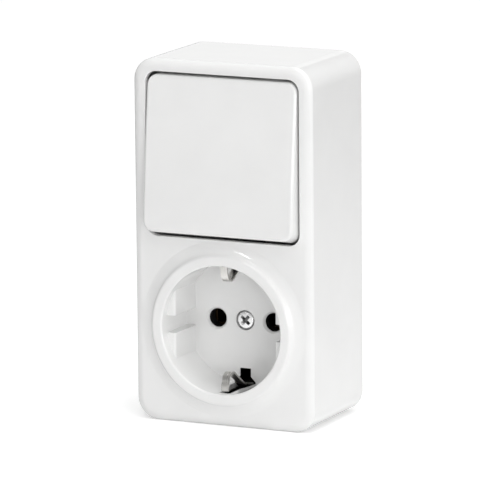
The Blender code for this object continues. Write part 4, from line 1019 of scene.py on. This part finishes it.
def floor_material():
    """A pale floor that keeps the object's shadow, is white to the camera and fades off in reflections."""
    made, nodes, links, shader = new_material("floor", FLOOR_TONE, 0.7)
    ray = nodes.new("ShaderNodeLightPath").outputs
    distance = nodes.new("ShaderNodeVectorMath")
    distance.operation = "LENGTH"
    links.new(nodes.new("ShaderNodeTexCoord").outputs["Object"], distance.inputs[0])
    near = ranged(nodes, links, distance.outputs["Value"], (FLOOR_NEAR, FLOOR_FAR), (1, 0))
    reflected = reckoned(nodes, links, "MULTIPLY", ray["Is Glossy Ray"], near)
    seen = reckoned(nodes, links, "MAXIMUM", ray["Is Camera Ray"], reflected)
    seen = reckoned(nodes, links, "MAXIMUM", seen, ray["Is Transmission Ray"])
    shader.inputs["Emission Color"].default_value = (1, 1, 1, 1)
    glow = ranged(nodes, links, seen, (0, 1), (0, FLOOR_GLOW))
    links.new(glow, shader.inputs["Emission Strength"])
    faded = reckoned(nodes, links, "SUBTRACT", ray["Is Glossy Ray"], reflected)
    tone = blended(nodes, links, faded, FLOOR_TONE, FLOOR_FAR_TONE)
    links.new(tone, shader.inputs["Base Color"])
    return made


def make_floor():
    """The plane on which the housing stands."""
    bm = bmesh.new()
    bmesh.ops.create_grid(bm, x_segments=1, y_segments=1, size=FLOOR_HALF)
    floor = new_object("floor", bm)
    floor.location = (0, 0, HOUSING_LOW.z)
    floor.data.materials.append(floor_material())


def make_world():
    """White to the camera and through clear pieces, and a low even light on the object."""
    world = bpy.data.worlds.new("studio")
    bpy.context.scene.world = world
    world.use_nodes = True
    nodes, links = world.node_tree.nodes, world.node_tree.links
    background = nodes["Background"]
    background.inputs["Color"].default_value = (1, 1, 1, 1)
    ray = nodes.new("ShaderNodeLightPath").outputs
    seen = reckoned(nodes, links, "MAXIMUM", ray["Is Camera Ray"], ray["Is Transmission Ray"])
    strength = ranged(nodes, links, seen, (0, 1), (WORLD_LEVEL, 1))
    links.new(strength, background.inputs["Strength"])


def direction(azimuth, elevation):
    """The way out from the object, at an azimuth from the front and an elevation, in degrees."""
    a, e = math.radians(azimuth), math.radians(elevation)
    return Vector((math.sin(a) * math.cos(e), -math.cos(a) * math.cos(e), math.sin(e)))


def softbox(name, azimuth, elevation, distance, size, watts):
    """An area lamp that faces the target."""
    lamp = bpy.data.lights.new(name, "AREA")
    lamp.shape = "RECTANGLE"
    lamp.size, lamp.size_y = size
    lamp.energy = watts
    made = bpy.data.objects.new(name, lamp)
    bpy.context.scene.collection.objects.link(made)
    away = direction(azimuth, elevation)
    made.location = TARGET + away * distance
    made.rotation_euler = away.to_track_quat("Z", "Y").to_euler()


def make_camera():
    """The photograph's own view."""
    a, roll = math.radians(CAMERA_AZIMUTH), math.radians(CAMERA_ROLL)
    back = direction(CAMERA_AZIMUTH, CAMERA_ELEVATION)
    level = Vector((math.cos(a), math.sin(a), 0))
    upright = back.cross(level)
    right = level * math.cos(roll) + upright * math.sin(roll)
    up = upright * math.cos(roll) - level * math.sin(roll)
    data = bpy.data.cameras.new("camera")
    data.lens = CAMERA_LENS
    data.sensor_width = CAMERA_SENSOR
    data.clip_start, data.clip_end = CAMERA_RANGE
    camera = bpy.data.objects.new("camera", data)
    bpy.context.scene.collection.objects.link(camera)
    turn = Matrix((right, up, back)).transposed().to_4x4()
    camera.matrix_world = Matrix.Translation(CAMERA_PLACE) @ turn
    bpy.context.scene.camera = camera


def dress_frame():
    """Gives every carried-over node the finish of its slot."""
    for row in frame["record"]["subparts"]:
        node = frame["nodes"][row["node"]]
        node.data.materials.clear()
        node.data.materials.append(LOOKS[row["material_slot"]])


dress_frame()
make_camera()
make_world()
make_floor()
for lamp in LAMPS:
    softbox(*lamp)
bpy.context.scene.view_settings.view_transform = "Standard"

make_housing()
make_rocker()
make_cover_screw()
make_earth_strap()
round_edges(("housing", "rocker", "cover_screw", "earth_strap"))
